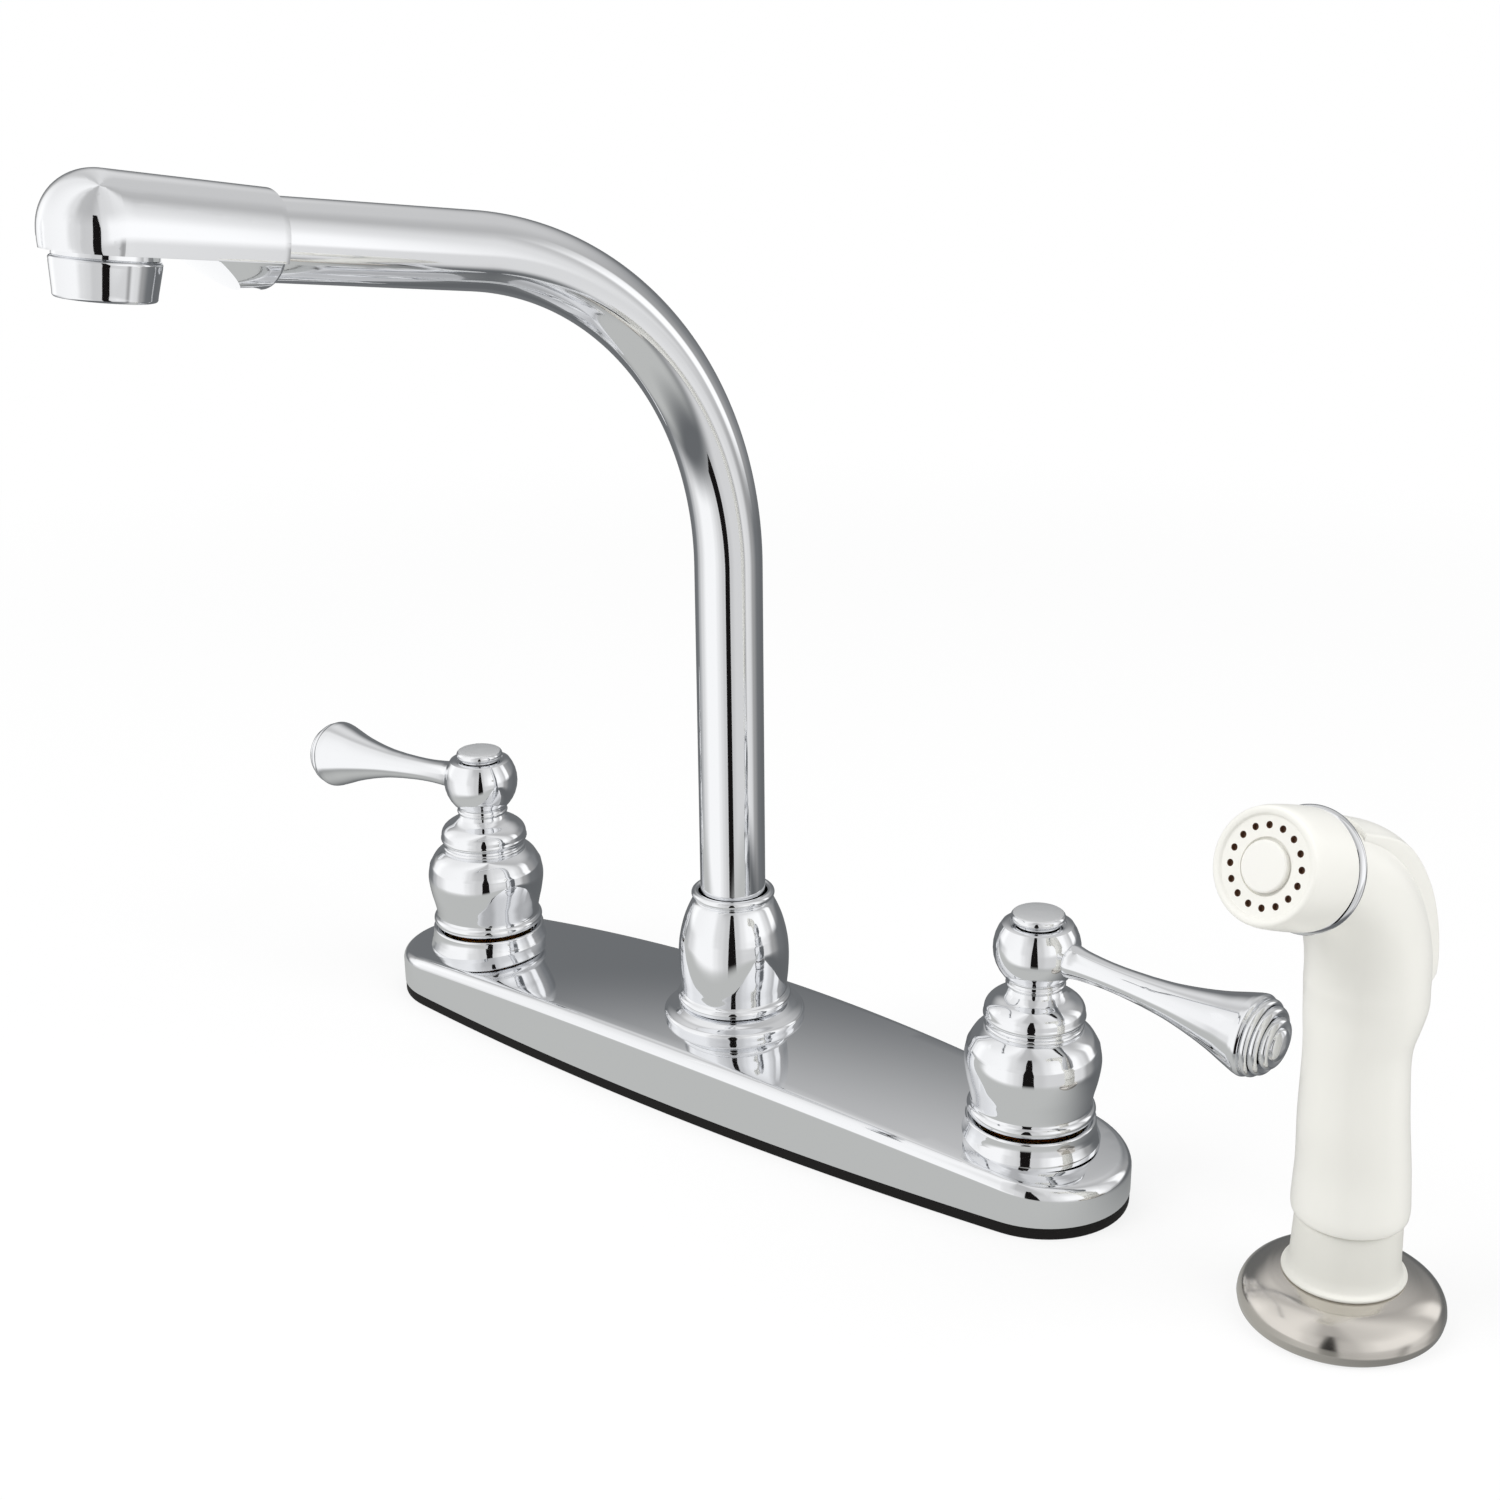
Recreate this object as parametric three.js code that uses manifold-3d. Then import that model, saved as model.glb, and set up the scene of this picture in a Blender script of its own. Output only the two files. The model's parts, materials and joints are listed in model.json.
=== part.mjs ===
// A two-handle kitchen faucet on a deck plate, with a high swivel spout and a separate side spray.
// Millimetres, +Z up, front is -Y. The origin is on the sink deck, under the spout's axis.
import * as THREE from "three";
import { mergeVertices } from "three/addons/utils/BufferGeometryUtils.js";
import Module from "manifold-3d";

const wasm = await Module();
wasm.setup();

const DEGREE = Math.PI / 180;
const FIT = 0.3; // gap between pieces that seat on each other
const RUN = 0.35; // radial gap between a piece that turns and what it turns in
const FINE = 20; // sides of the large turned pieces
const PLAIN = 16; // sides of the small turned pieces

// ---- Driving dimensions -------------------------------------------------------------------

// Deck plate and the sink it stands on
const HANDLE_SPACING = 203.2; // between the two handle axes
const SINK_THICKNESS = 8;
const PLATE_OVERHANG = 28.2; // the plate's end past each handle's axis
const PLATE_WIDTH = 59.2;
const PLATE_END_RADIUS = 24;
const PLATE_SHIFT = -1; // the plate's middle lies this far in front of the handle axes
const PLATE_TOP = 21.4; // height of the arched top under the spout
const PLATE_DROP = 4.9; // how much lower the top is at the handles
const PLATE_EDGE = 4.3; // rounding of the top edge
const PLATE_WALL = 2;
const GASKET = 3.3;
const GASKET_INSET = 0.4;

// Valves under the handles
const SHANK_RADIUS = 10.4;
const SHANK_LENGTH = 48; // below the sink deck
const SHANK_BORE = 6.4;
const VALVE_RADIUS = 13.4;
const VALVE_THREAD_RADIUS = 11.2;
const VALVE_TOP = 31;
const SEAT_HEIGHT = 2; // bottom of the cartridge bore
const CARTRIDGE_RADIUS = 9.8;
const CARTRIDGE_CUP = 7.9; // inner radius of the cup that holds the discs
const CARTRIDGE_CUP_TOP = 14.6;
const CARTRIDGE_NECK = 6.4;
const WASHER_THICKNESS = 3;
const DISC_RADIUS = 7.4;
const DISC_THICKNESS = 2.6;
const STEM_RADIUS = 3.9;
const NUT_ACROSS = 25.2; // across the flats of the hexagon
const NUT_TOP = 34;
const LOCK_NUT_HEIGHT = 9;
const LOCK_NUT_WING = 21; // reach of each wing from the axis
const LOCK_WASHER_THICKNESS = 1.7;

// Handles
const BASE_RING_RADIUS = 17.6;
const BASE_RING_WALL = 2;
const BASE_RING_TOP = 22.3;
const HANDLE_GAP = 0.7; // dark line between the base ring and the handle
const LIP_RADIUS = 17.1;
const BELL_RADIUS = 18.1;
const BELL_WALL = 2.2;
const COLLAR_RADIUS = 13.4;
const NECK_RADIUS = 7.3;
const BALL_RADIUS = 11.1;
const BALL_HEIGHT = 70.6; // the handle's other heights hang from this one
const BALL_CUT = BALL_HEIGHT + 7; // flat on top of the ball, under the button
const NECK_HEIGHT = BALL_HEIGHT - 10.6;
const COLLAR_HEIGHT = BALL_HEIGHT - 17.9;
const BELL_TOP = BALL_HEIGHT - 21.2;
const BELL_HEIGHT = BALL_HEIGHT - 31.7; // height of its widest place
const STEM_TOP = BALL_HEIGHT - 3.2;
const CARTRIDGE_TOP = BALL_HEIGHT - 29.6;
const HANDLE_WEB = 2.6; // metal between the stem and the screw's head
const BUTTON_RADIUS = 7.05;
const BUTTON_THICKNESS = 2.6;
const BUTTON_PLUG = 4.4;
const SCREW_RADIUS = 2;
const SCREW_HEAD = 4;
const SCREW_LENGTH = 12;

// Levers
const LEVER_LENGTH = 71.5; // from the handle's axis to the tip
const LEVER_DROOP = 4;
const LEVER_TURN = 2.6; // at rest each lever points a little to the front
const LEVER_ROOT_RADIUS = 4.1;
const LEVER_WAIST_RADIUS = 3.6;
const LEVER_BULB_RADIUS = 10.9;
const LEVER_BULB_AT = 64; // where the bulb is widest
const LEVER_RINGS = 4;
const LEVER_SEAT = 10.2; // flat on the ball that the lever is screwed against
const STUD_RADIUS = 1.8;
const STUD_END = 6.2;

// Spout
const SPOUT_RADIUS = 9.3;
const SPOUT_WALL = 1.2;
const SPOUT_TURN = 8.5; // at rest the spout points this far to the left of straight ahead
const SPOUT_RISE = 155.6; // height at which the bend starts
const SPOUT_BEND_RADIUS = 91.8;
const SPOUT_BEND = 82.2;
const SPOUT_FOOT = 16; // bottom end of the tube, inside the post
const HEAD_START = 55.2; // along the arm, from the end of the bend
const HEAD_END = 102.3;
const HEAD_RADIUS = 10.9;
const HEAD_END_RADIUS = 12.4;
const HEAD_FLAT = 4.5; // the flat underside lies this far under the arm's axis
const HEAD_SOCKET = 9; // how deep the tube goes in
const HEAD_NOSE_RADIUS = 20;
const AERATOR_AT = 92.4;
const AERATOR_NECK = 11;
const AERATOR_RADIUS = 11.6;
const AERATOR_END_RADIUS = 10.6;
const AERATOR_HEIGHT = 9.8;
const AERATOR_THREAD = 8.4;
const AERATOR_SEAT = 2;
const AERATOR_HOLES = [
  { count: 4, ring: 2.2 },
  { count: 8, ring: 5 },
];

// Spout post, its bonnet and the flange under it
const POST_RADIUS = 13;
const POST_TOP = 42;
const POST_FLOOR = 6;
const POST_FOOT_RADIUS = 15.4;
const O_RING_HEIGHTS = [22, 33];
const O_RING_SECTION = 0.85;
const COLLET_THICKNESS = 2.2;
const BONNET_TOP = 61;
const BONNET_TOP_RADIUS = 12;
const BONNET_RADIUS = 16;
const BONNET_FOOT_RADIUS = 16.6;
const FLANGE_RADIUS = 20.5;
const FLANGE_HEIGHT = 3.9;
const CROSSOVER_RADIUS = 5;
const CROSSOVER_HEIGHT = 9.8;
const CROSSOVER_SOCKET = 2; // how deep each end goes in
const NIPPLE_RADIUS = 6.4;
const NIPPLE_LENGTH = 32;
const NIPPLE_BORE = 2.6;
const DIVERTER_TRAVEL = 2.4;

// Side spray
const SPRAY_GAP = 19.7; // from the cold lever's tip to the spray's axis
const SPRAY_Y = -3.1;
const SPRAY_TURN = 10.5;
const SPRAY_FLANGE_RADIUS = 24.9;
const SPRAY_FLANGE_HEIGHT = 11.6;
const HOLDER_RADIUS = 13.1;
const HOLDER_TOP_RADIUS = 12.7;
const HOLDER_TOP = 27.6;
const HOLDER_LIP_RADIUS = 14.7;
const HOLDER_BORE = 8.6;
const HOLDER_SHANK_RADIUS = 12;
const HOLDER_SHANK_LENGTH = 40;
const GUIDE_NUT_ACROSS = 34;
const GUIDE_NUT_HEIGHT = 9;
const COUPLING_RADIUS = 7.4;
const COUPLING_BOTTOM = 6;
const COUPLING_LEDGE = 36; // the handset is held on the coupling's flange from here
const COUPLING_FLANGE = 9.1;
const COUPLING_TOP = 39.6;
const GRIP_SECTIONS = [
  // height, how far forward the middle is, radius
  [28.1, 0, 13.4],
  [29.3, 0, 13.9],
  [31.5, 0.1, 14],
  [42.5, 0.7, 13.4],
  [53.8, 2.2, 12.95],
  [61.9, 2.9, 12.6],
  [70, 3.4, 12.3],
  [75.2, 3.4, 12.5],
  [80.1, 2.6, 13.4],
  [84.9, 1.9, 14.1],
];
const BEND_START = 90; // height where the neck starts to bend forward
const BEND_OFFSET = 2.3; // how far forward the middle is there
const BEND_RADIUS = 36;
const BEND_ANGLE = 71.8;
const BEND_RADII = [14.2, 14.1, 13.8, 13.4, 12.8, 12.2, 11.9];
const NECK_STRAIGHT = 2.6;
const PAST_NECK = 30; // a distance from the neck's middle line that clears it
const HANDSET_BORE = 9.5;
const NECK_BORE = 5.2;
const NOZZLE_SEAT = 9.6;
const NOZZLE_SEAT_DEPTH = 6;
const TRIM_RADIUS = 14;
const TRIM_HALF_WIDTH = 1.2;
const NOZZLE_RADIUS = 13.7;
const NOZZLE_RIM_RADIUS = 12.95;
const NOZZLE_FACE = 16.7; // from the middle of the trim ring
const NOZZLE_PLATE_RADIUS = 11;
const NOZZLE_HOLES = 16;
const NOZZLE_HOLE_RING = 8.85;
const NOZZLE_HOLE_RADIUS = 0.85;
const NOZZLE_CORE_RADIUS = 5.65;
const TRIGGER_HALF_WIDTH = 7.6;
const TRIGGER_RISE = 2.2; // how far it stands out from the body
const TRIGGER_TRAVEL = 2.6; // depth of the recess under it
const TRIGGER_LIP = 87.4; // height of its lower end
const TRIGGER_NOTCH = 2.4; // gap under its lower end
const TRIGGER_FRONT = 63; // its front end, along the bend
const PIN_RADIUS = 1.1;
const PIN_AT = 60; // along the bend
const PIN_OUT = 8.3; // from the middle of the neck
const PLUNGER_RADIUS = 1.2;
const PLUNGER_TOP = 113.9;
const PLUNGER_BOTTOM = 91;
const SPRING_BOTTOM = 107.8;
const SPRING_TURNS = 4;
const SPRING_RADIUS = 2.25;
const SPRING_WIRE = 0.35;

// ---- Materials ----------------------------------------------------------------------------

function finish(color, roughness, metalness) {
  return new THREE.MeshStandardMaterial({ color, roughness, metalness });
}

const CHROME = finish(0xd4d7da, 0.08, 1);
const SATIN_CHROME = finish(0xc2bfbb, 0.28, 1);
const BRASS = finish(0xb9954f, 0.35, 1);
const STEEL = finish(0x9aa0a6, 0.35, 1);
const RUBBER = finish(0x1d1716, 0.8, 0);
const CERAMIC = finish(0xeeeae0, 0.3, 0);
const WHITE_PLASTIC = finish(0xf1eee6, 0.35, 0);
const GREY_PLASTIC = finish(0x8d9296, 0.5, 0);

// ---- Shape helpers ------------------------------------------------------------------------

// A closed geometry as a solid for cutting and joining, facing outwards.
function solid(geometry) {
  const bare = geometry.index ? geometry.toNonIndexed() : geometry.clone();
  bare.deleteAttribute("normal");
  bare.deleteAttribute("uv");
  const merged = mergeVertices(bare, 1e-4);
  const vertProperties = merged.attributes.position.array;
  const corners = Array.from(merged.index.array);
  const made = new wasm.Manifold(
    new wasm.Mesh({ numProp: 3, vertProperties, triVerts: new Uint32Array(corners) }),
  );
  if (made.volume() >= 0) return made;
  const triVerts = new Uint32Array(corners.reverse());
  return new wasm.Manifold(new wasm.Mesh({ numProp: 3, vertProperties, triVerts }));
}

// A profile of [radius, height] points turned about Z. It starts and ends on the axis, or is closed.
function turned(profile, sides = PLAIN) {
  const points = profile.map(([r, z]) => new THREE.Vector2(r, z));
  const first = points[0];
  const last = points[points.length - 1];
  if (first.x > 0 || last.x > 0) points.push(first.clone());
  return solid(new THREE.LatheGeometry(points, sides).rotateX(Math.PI / 2));
}

// A smooth run of profile points through the given ones.
function smooth(points, count) {
  const curve = new THREE.SplineCurve(points.map(([r, z]) => new THREE.Vector2(r, z)));
  return curve.getPoints(count).map((p) => [p.x, p.y]);
}

// Points on a rounded edge about [r, z], from one angle to another, in degrees from +r.
function rounded(r, z, radius, from, to, count = 4) {
  const arc = new THREE.EllipseCurve(r, z, radius, radius, from * DEGREE, to * DEGREE, to < from);
  return arc.getPoints(count).map((p) => [p.x, p.y]);
}

function rod(radius, bottom, top, sides = PLAIN) {
  return turned([[0, bottom], [radius, bottom], [radius, top], [0, top]], sides);
}

function tube(outer, inner, bottom, top, sides = PLAIN) {
  return turned([[inner, bottom], [outer, bottom], [outer, top], [inner, top]], sides);
}

// A prism on a [x, y] outline, from one height to another.
function prism(outline, bottom, top) {
  const shape = new THREE.Shape(outline.map(([x, y]) => new THREE.Vector2(x, y)));
  const extruded = new THREE.ExtrudeGeometry(shape, { depth: top - bottom, bevelEnabled: false });
  return solid(extruded.translate(0, 0, bottom));
}

function box(low, high) {
  const size = high.map((h, i) => h - low[i]);
  const middle = high.map((h, i) => (h + low[i]) / 2);
  return solid(new THREE.BoxGeometry(...size).translate(...middle));
}

// A closed skin over sections, each a ring of points of one count.
function loft(sections) {
  const sides = sections[0].length;
  const rows = sections.length - 1;
  const geometry = new THREE.CylinderGeometry(1, 1, 1, sides, rows);
  const position = geometry.attributes.position;
  const middles = sections.map((ring) =>
    ring.reduce((sum, p) => sum.add(p), new THREE.Vector3()).divideScalar(sides),
  );
  for (let i = 0; i < position.count; i++) {
    const row = Math.round((position.getY(i) + 0.5) * rows);
    const onAxis = Math.hypot(position.getX(i), position.getZ(i)) < 0.5;
    const turn = Math.atan2(position.getX(i), position.getZ(i)) / (2 * Math.PI);
    const side = (Math.round(turn * sides) + sides) % sides;
    const place = onAxis ? middles[row] : sections[row][side];
    position.setXYZ(i, place.x, place.y, place.z);
  }
  return solid(geometry);
}

// A hexagon nut blank by its size across the flats.
function hexagon(across, bottom, top) {
  const corner = across / Math.sqrt(3);
  const outline = [0, 1, 2, 3, 4, 5].map((i) => [
    corner * Math.cos(i * 60 * DEGREE),
    corner * Math.sin(i * 60 * DEGREE),
  ]);
  return prism(outline, bottom, top);
}

// A named node of the part, from its finished solid.
function mesh(name, made, material) {
  const { numProp, vertProperties, triVerts } = made.getMesh();
  const position = new Float32Array((vertProperties.length / numProp) * 3);
  for (let i = 0; i < position.length / 3; i++)
    position.set(vertProperties.subarray(i * numProp, i * numProp + 3), i * 3);
  const geometry = new THREE.BufferGeometry();
  geometry.setAttribute("position", new THREE.BufferAttribute(position, 3));
  geometry.setIndex(new THREE.BufferAttribute(triVerts, 1));
  geometry.computeVertexNormals();
  const node = new THREE.Mesh(geometry, material);
  node.name = name;
  return node;
}

function group(...children) {
  const made = new THREE.Group();
  made.add(...children);
  return made;
}

// ---- Deck plate and gasket ----------------------------------------------------------------

const HANDLE_REACH = HANDLE_SPACING / 2;
const PLATE_LENGTH = HANDLE_SPACING + 2 * PLATE_OVERHANG;
const ARCH_RADIUS = (HANDLE_REACH ** 2 + PLATE_DROP ** 2) / (2 * PLATE_DROP);

function archHeight(x) {
  return PLATE_TOP - ARCH_RADIUS + Math.sqrt(ARCH_RADIUS ** 2 - x ** 2);
}

// The plate's outline in plan, moved in by inset: two end arcs joined by two long side arcs.
function plateOutline(inset) {
  const reach = PLATE_LENGTH / 2 - PLATE_END_RADIUS;
  const end = PLATE_END_RADIUS - inset;
  const half = PLATE_WIDTH / 2 - inset;
  const side = (reach ** 2 + half ** 2 - end ** 2) / (2 * (half - end));
  const meet = Math.atan2(side - half, reach);
  const path = new THREE.Path();
  path.absarc(reach, 0, end, -meet, meet);
  path.absarc(0, half - side, side, meet, Math.PI - meet);
  path.absarc(-reach, 0, end, Math.PI - meet, Math.PI + meet);
  path.absarc(0, side - half, side, Math.PI + meet, 2 * Math.PI - meet);
  const points = path.getPoints(5);
  const ring = points.filter((p, i) => i === 0 || p.distanceTo(points[i - 1]) > 1e-6);
  if (ring[0].distanceTo(ring[ring.length - 1]) < 1e-6) ring.pop();
  return ring;
}

// The plate's outer form, or with a wall its hollow: straight walls, a rounded edge, an arched top.
function plateForm(inset, bottom, lowered) {
  const edge = PLATE_EDGE - inset;
  const outline = plateOutline(inset);
  const lay = (points, height) =>
    points.map((p) => new THREE.Vector3(p.x, p.y + PLATE_SHIFT, height(p.x)));
  const sections = [lay(outline, () => bottom)];
  for (const angle of [0, 45, 90]) {
    const ring = plateOutline(inset + edge * (1 - Math.cos(angle * DEGREE)));
    const drop = edge * (1 - Math.sin(angle * DEGREE)) + lowered;
    sections.push(lay(ring, (x) => archHeight(x) - drop));
  }
  const top = plateOutline(inset + edge);
  for (const share of [0.66, 0.33, 0.02]) {
    const ring = top.map((p) => p.clone().multiplyScalar(share));
    sections.push(lay(ring, (x) => archHeight(x) - lowered));
  }
  return loft(sections);
}

function deckPlate() {
  let plate = plateForm(0, GASKET + FIT, 0);
  plate = plate.subtract(plateForm(PLATE_WALL, GASKET - 1, PLATE_WALL));
  plate = plate.subtract(rod(POST_RADIUS + 2 * FIT, 0, PLATE_TOP + 5, FINE));
  for (const side of [-1, 1]) {
    const hole = rod(VALVE_RADIUS + 2 * FIT, 0, PLATE_TOP + 5, FINE);
    plate = plate.subtract(hole.translate([side * HANDLE_REACH, 0, 0]));
  }
  return plate;
}

function baseGasket() {
  const outline = plateOutline(GASKET_INSET).map((p) => [p.x, p.y + PLATE_SHIFT]);
  let pad = prism(outline, 0, GASKET);
  pad = pad.subtract(rod(NIPPLE_RADIUS + 1, -1, GASKET + 1));
  for (const side of [-1, 1]) {
    const hole = rod(SHANK_RADIUS + FIT, -1, GASKET + 1);
    pad = pad.subtract(hole.translate([side * HANDLE_REACH, 0, 0]));
  }
  return pad;
}

// ---- Valves -------------------------------------------------------------------------------

function valveBody(side) {
  const foot = GASKET + FIT;
  let body = turned(
    [
      [SHANK_BORE, -SHANK_LENGTH],
      [SHANK_RADIUS - 1, -SHANK_LENGTH],
      [SHANK_RADIUS, -SHANK_LENGTH + 1],
      [SHANK_RADIUS, foot],
      [VALVE_RADIUS, foot],
      [VALVE_RADIUS, BASE_RING_TOP - 2],
      [VALVE_THREAD_RADIUS, BASE_RING_TOP - 1],
      [VALVE_THREAD_RADIUS, VALVE_TOP],
      [CARTRIDGE_RADIUS + FIT, VALVE_TOP],
      [CARTRIDGE_RADIUS + FIT, SEAT_HEIGHT],
      [SHANK_BORE, SEAT_HEIGHT],
    ],
    FINE,
  );
  const port = rod(CROSSOVER_RADIUS + FIT, VALVE_RADIUS - CROSSOVER_SOCKET, VALVE_RADIUS + 1);
  const passage = rod(CROSSOVER_RADIUS - 1, 0, VALVE_RADIUS + 1);
  for (const tool of [port, passage])
    body = body.subtract(tool.rotate([0, -90 * side, 0]).translate([0, 0, CROSSOVER_HEIGHT]));
  return body;
}

const WASHER_TOP = SEAT_HEIGHT + FIT + WASHER_THICKNESS;
const FIXED_DISC_TOP = WASHER_TOP + FIT + DISC_THICKNESS;
const MOVING_DISC_TOP = FIXED_DISC_TOP + FIT + DISC_THICKNESS;

function seatWasher() {
  return tube(DISC_RADIUS, 3, SEAT_HEIGHT + FIT, WASHER_TOP);
}

// A ceramic disc with two quarter openings that meet those of its neighbour when the valve opens.
function ceramicDisc(bottom) {
  const disc = rod(DISC_RADIUS, bottom, bottom + DISC_THICKNESS);
  const port = rod(2.2, bottom - 1, bottom + DISC_THICKNESS + 1, 12);
  return disc.subtract(port.translate([4, 0, 0])).subtract(port.translate([-4, 0, 0]));
}

function cartridge() {
  const body = turned([
    [CARTRIDGE_CUP, WASHER_TOP + FIT],
    [CARTRIDGE_RADIUS, WASHER_TOP + FIT],
    [CARTRIDGE_RADIUS, VALVE_TOP + FIT],
    [CARTRIDGE_NECK, VALVE_TOP + FIT],
    [CARTRIDGE_NECK, CARTRIDGE_TOP],
    [STEM_RADIUS + RUN, CARTRIDGE_TOP],
    [STEM_RADIUS + RUN, CARTRIDGE_CUP_TOP],
    [CARTRIDGE_CUP, CARTRIDGE_CUP_TOP],
  ]);
  const window = box(
    [-CARTRIDGE_RADIUS - 1, -3, CARTRIDGE_CUP_TOP - 3],
    [CARTRIDGE_RADIUS + 1, 3, CARTRIDGE_CUP_TOP - 0.5],
  );
  return body.subtract(window);
}

function valveStem() {
  const foot = MOVING_DISC_TOP + FIT;
  const stem = turned([
    [0, foot],
    [DISC_RADIUS - 1, foot],
    [DISC_RADIUS - 1, CARTRIDGE_CUP_TOP - FIT],
    [STEM_RADIUS, CARTRIDGE_CUP_TOP - FIT],
    [STEM_RADIUS, STEM_TOP - 0.6],
    [STEM_RADIUS - 0.6, STEM_TOP],
    [0, STEM_TOP],
  ]);
  return stem.subtract(rod(SCREW_RADIUS + FIT, STEM_TOP - SCREW_LENGTH, STEM_TOP + 1));
}

function bonnetNut() {
  const bottom = BASE_RING_TOP + HANDLE_GAP + 1;
  let nut = hexagon(NUT_ACROSS, bottom, NUT_TOP);
  nut = nut.subtract(rod(VALVE_THREAD_RADIUS + FIT, bottom - 1, VALVE_TOP + 2 * FIT, FINE));
  return nut.subtract(rod(CARTRIDGE_NECK + FIT, bottom, NUT_TOP + 1));
}

// A wing nut and its washer clamp the sink deck from below.
function lockNut() {
  const top = -SINK_THICKNESS - LOCK_WASHER_THICKNESS - FIT;
  const bottom = top - LOCK_NUT_HEIGHT;
  let nut = rod(SHANK_RADIUS + 3.5, bottom, top, FINE);
  nut = nut.add(box([-LOCK_NUT_WING, -2, bottom], [LOCK_NUT_WING, 2, top - 1]));
  return nut.subtract(rod(SHANK_RADIUS + FIT, bottom - 1, top + 1, FINE));
}

function lockWasher() {
  const bottom = -SINK_THICKNESS - LOCK_WASHER_THICKNESS;
  return tube(SHANK_RADIUS + 7, SHANK_RADIUS + FIT, bottom, -SINK_THICKNESS);
}

// A ring cut to the plate's arched top, with its foot started inside the plate.
function baseRing(side) {
  const foot = PLATE_TOP / 2;
  const ring = turned(
    [
      [BASE_RING_RADIUS - BASE_RING_WALL, foot],
      [BASE_RING_RADIUS, foot],
      ...rounded(BASE_RING_RADIUS - 0.6, BASE_RING_TOP - 0.6, 0.6, 0, 90, 2),
      [BASE_RING_RADIUS - BASE_RING_WALL, BASE_RING_TOP],
    ],
    FINE,
  );
  const plate = plateForm(0, 0, -FIT);
  return ring.subtract(plate.translate([-side * HANDLE_REACH, 0, 0]));
}

// ---- Handles ------------------------------------------------------------------------------

const LIP_BOTTOM = BASE_RING_TOP + HANDLE_GAP;

// Lip, bell, collar, neck and ball in one outer profile, from the bottom up.
function handleOutside() {
  const bell = smooth(
    [
      [LIP_RADIUS - 0.5, LIP_BOTTOM + 4],
      [(LIP_RADIUS + BELL_RADIUS) / 2, (LIP_BOTTOM + 4 + BELL_HEIGHT) / 2 - 1],
      [BELL_RADIUS, BELL_HEIGHT],
      [BELL_RADIUS - 1.5, BELL_HEIGHT + 6],
      [COLLAR_RADIUS, BELL_TOP],
    ],
    7,
  );
  const neck = smooth(
    [
      [COLLAR_RADIUS - 2, COLLAR_HEIGHT + 2.2],
      [NECK_RADIUS + 0.9, NECK_HEIGHT - 2.6],
      [NECK_RADIUS, NECK_HEIGHT],
    ],
    3,
  );
  const start = -Math.acos((NECK_RADIUS + 0.4) / BALL_RADIUS) / DEGREE;
  const end = Math.asin((BALL_CUT - BALL_HEIGHT) / BALL_RADIUS) / DEGREE;
  return [
    ...rounded(LIP_RADIUS - 1.6, LIP_BOTTOM + 1.6, 1.6, -90, 70, 3),
    ...bell,
    [COLLAR_RADIUS - 0.8, BELL_TOP + 0.6],
    ...rounded(COLLAR_RADIUS - 1.4, COLLAR_HEIGHT, 1.4, -60, 80, 3),
    ...neck,
    ...rounded(0, BALL_HEIGHT, BALL_RADIUS, start, end, 6),
  ];
}

// The hollow bell, the socket on the stem, the screw hole and the recess under the button.
function handleInside() {
  const web = STEM_TOP + FIT;
  const recess = BUTTON_PLUG + FIT;
  return [
    [recess, BALL_CUT],
    [recess, web + HANDLE_WEB],
    [SCREW_RADIUS + FIT, web + HANDLE_WEB],
    [SCREW_RADIUS + FIT, web],
    [STEM_RADIUS + FIT, web],
    [STEM_RADIUS + FIT, BELL_TOP - 3],
    [NECK_RADIUS, BELL_TOP - 3],
    [BELL_RADIUS - BELL_WALL - 2.2, BELL_HEIGHT + 5],
    [BELL_RADIUS - BELL_WALL, BELL_HEIGHT],
    [LIP_RADIUS - BELL_WALL, LIP_BOTTOM],
  ];
}

function handleHub(side) {
  const flat = rod(LEVER_ROOT_RADIUS + 1, LEVER_SEAT, BALL_RADIUS + 1);
  const stud = rod(STUD_RADIUS + FIT, STUD_END - FIT, LEVER_SEAT + 1, 12);
  let hub = turned([...handleOutside(), ...handleInside()], FINE);
  for (const tool of [flat, stud]) {
    const laid = tool.rotate([0, side * (90 + LEVER_DROOP), 0]).rotate([0, 0, -side * LEVER_TURN]);
    hub = hub.subtract(laid.translate([0, 0, BALL_HEIGHT]));
  }
  return hub;
}

// The lever's profile along its own axis: root, waist, trumpet flare and ringed end.
function leverProfile() {
  const root = LEVER_SEAT + FIT;
  const flare = smooth(
    [
      [LEVER_ROOT_RADIUS, root + 1],
      [LEVER_WAIST_RADIUS, LEVER_BULB_AT - 42],
      [LEVER_WAIST_RADIUS + 1, LEVER_BULB_AT - 25],
      [LEVER_BULB_RADIUS - 3.4, LEVER_BULB_AT - 10.5],
      [LEVER_BULB_RADIUS, LEVER_BULB_AT],
    ],
    8,
  );
  const step = (LEVER_LENGTH - LEVER_BULB_AT) / LEVER_RINGS;
  const rings = [];
  for (let i = 0; i < LEVER_RINGS; i++) {
    const height = LEVER_BULB_AT + step * (i + 1);
    const share = (height - LEVER_BULB_AT) / (LEVER_LENGTH - LEVER_BULB_AT);
    const outer = (LEVER_BULB_RADIUS - 0.4) * Math.sqrt(1 - (share * 0.94) ** 2);
    rings.push([outer + 1.1, height - step * 0.55]);
    rings.push([outer + 0.5, height - step * 0.1]);
    rings.push([outer - 0.6, height - step * 0.25]);
  }
  const stud = [[0, STUD_END], [STUD_RADIUS, STUD_END], [STUD_RADIUS, root]];
  return [...stud, [LEVER_ROOT_RADIUS - 0.6, root], ...flare, ...rings, [0, LEVER_LENGTH]];
}

function lever() {
  return turned(leverProfile(), PLAIN);
}

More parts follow.
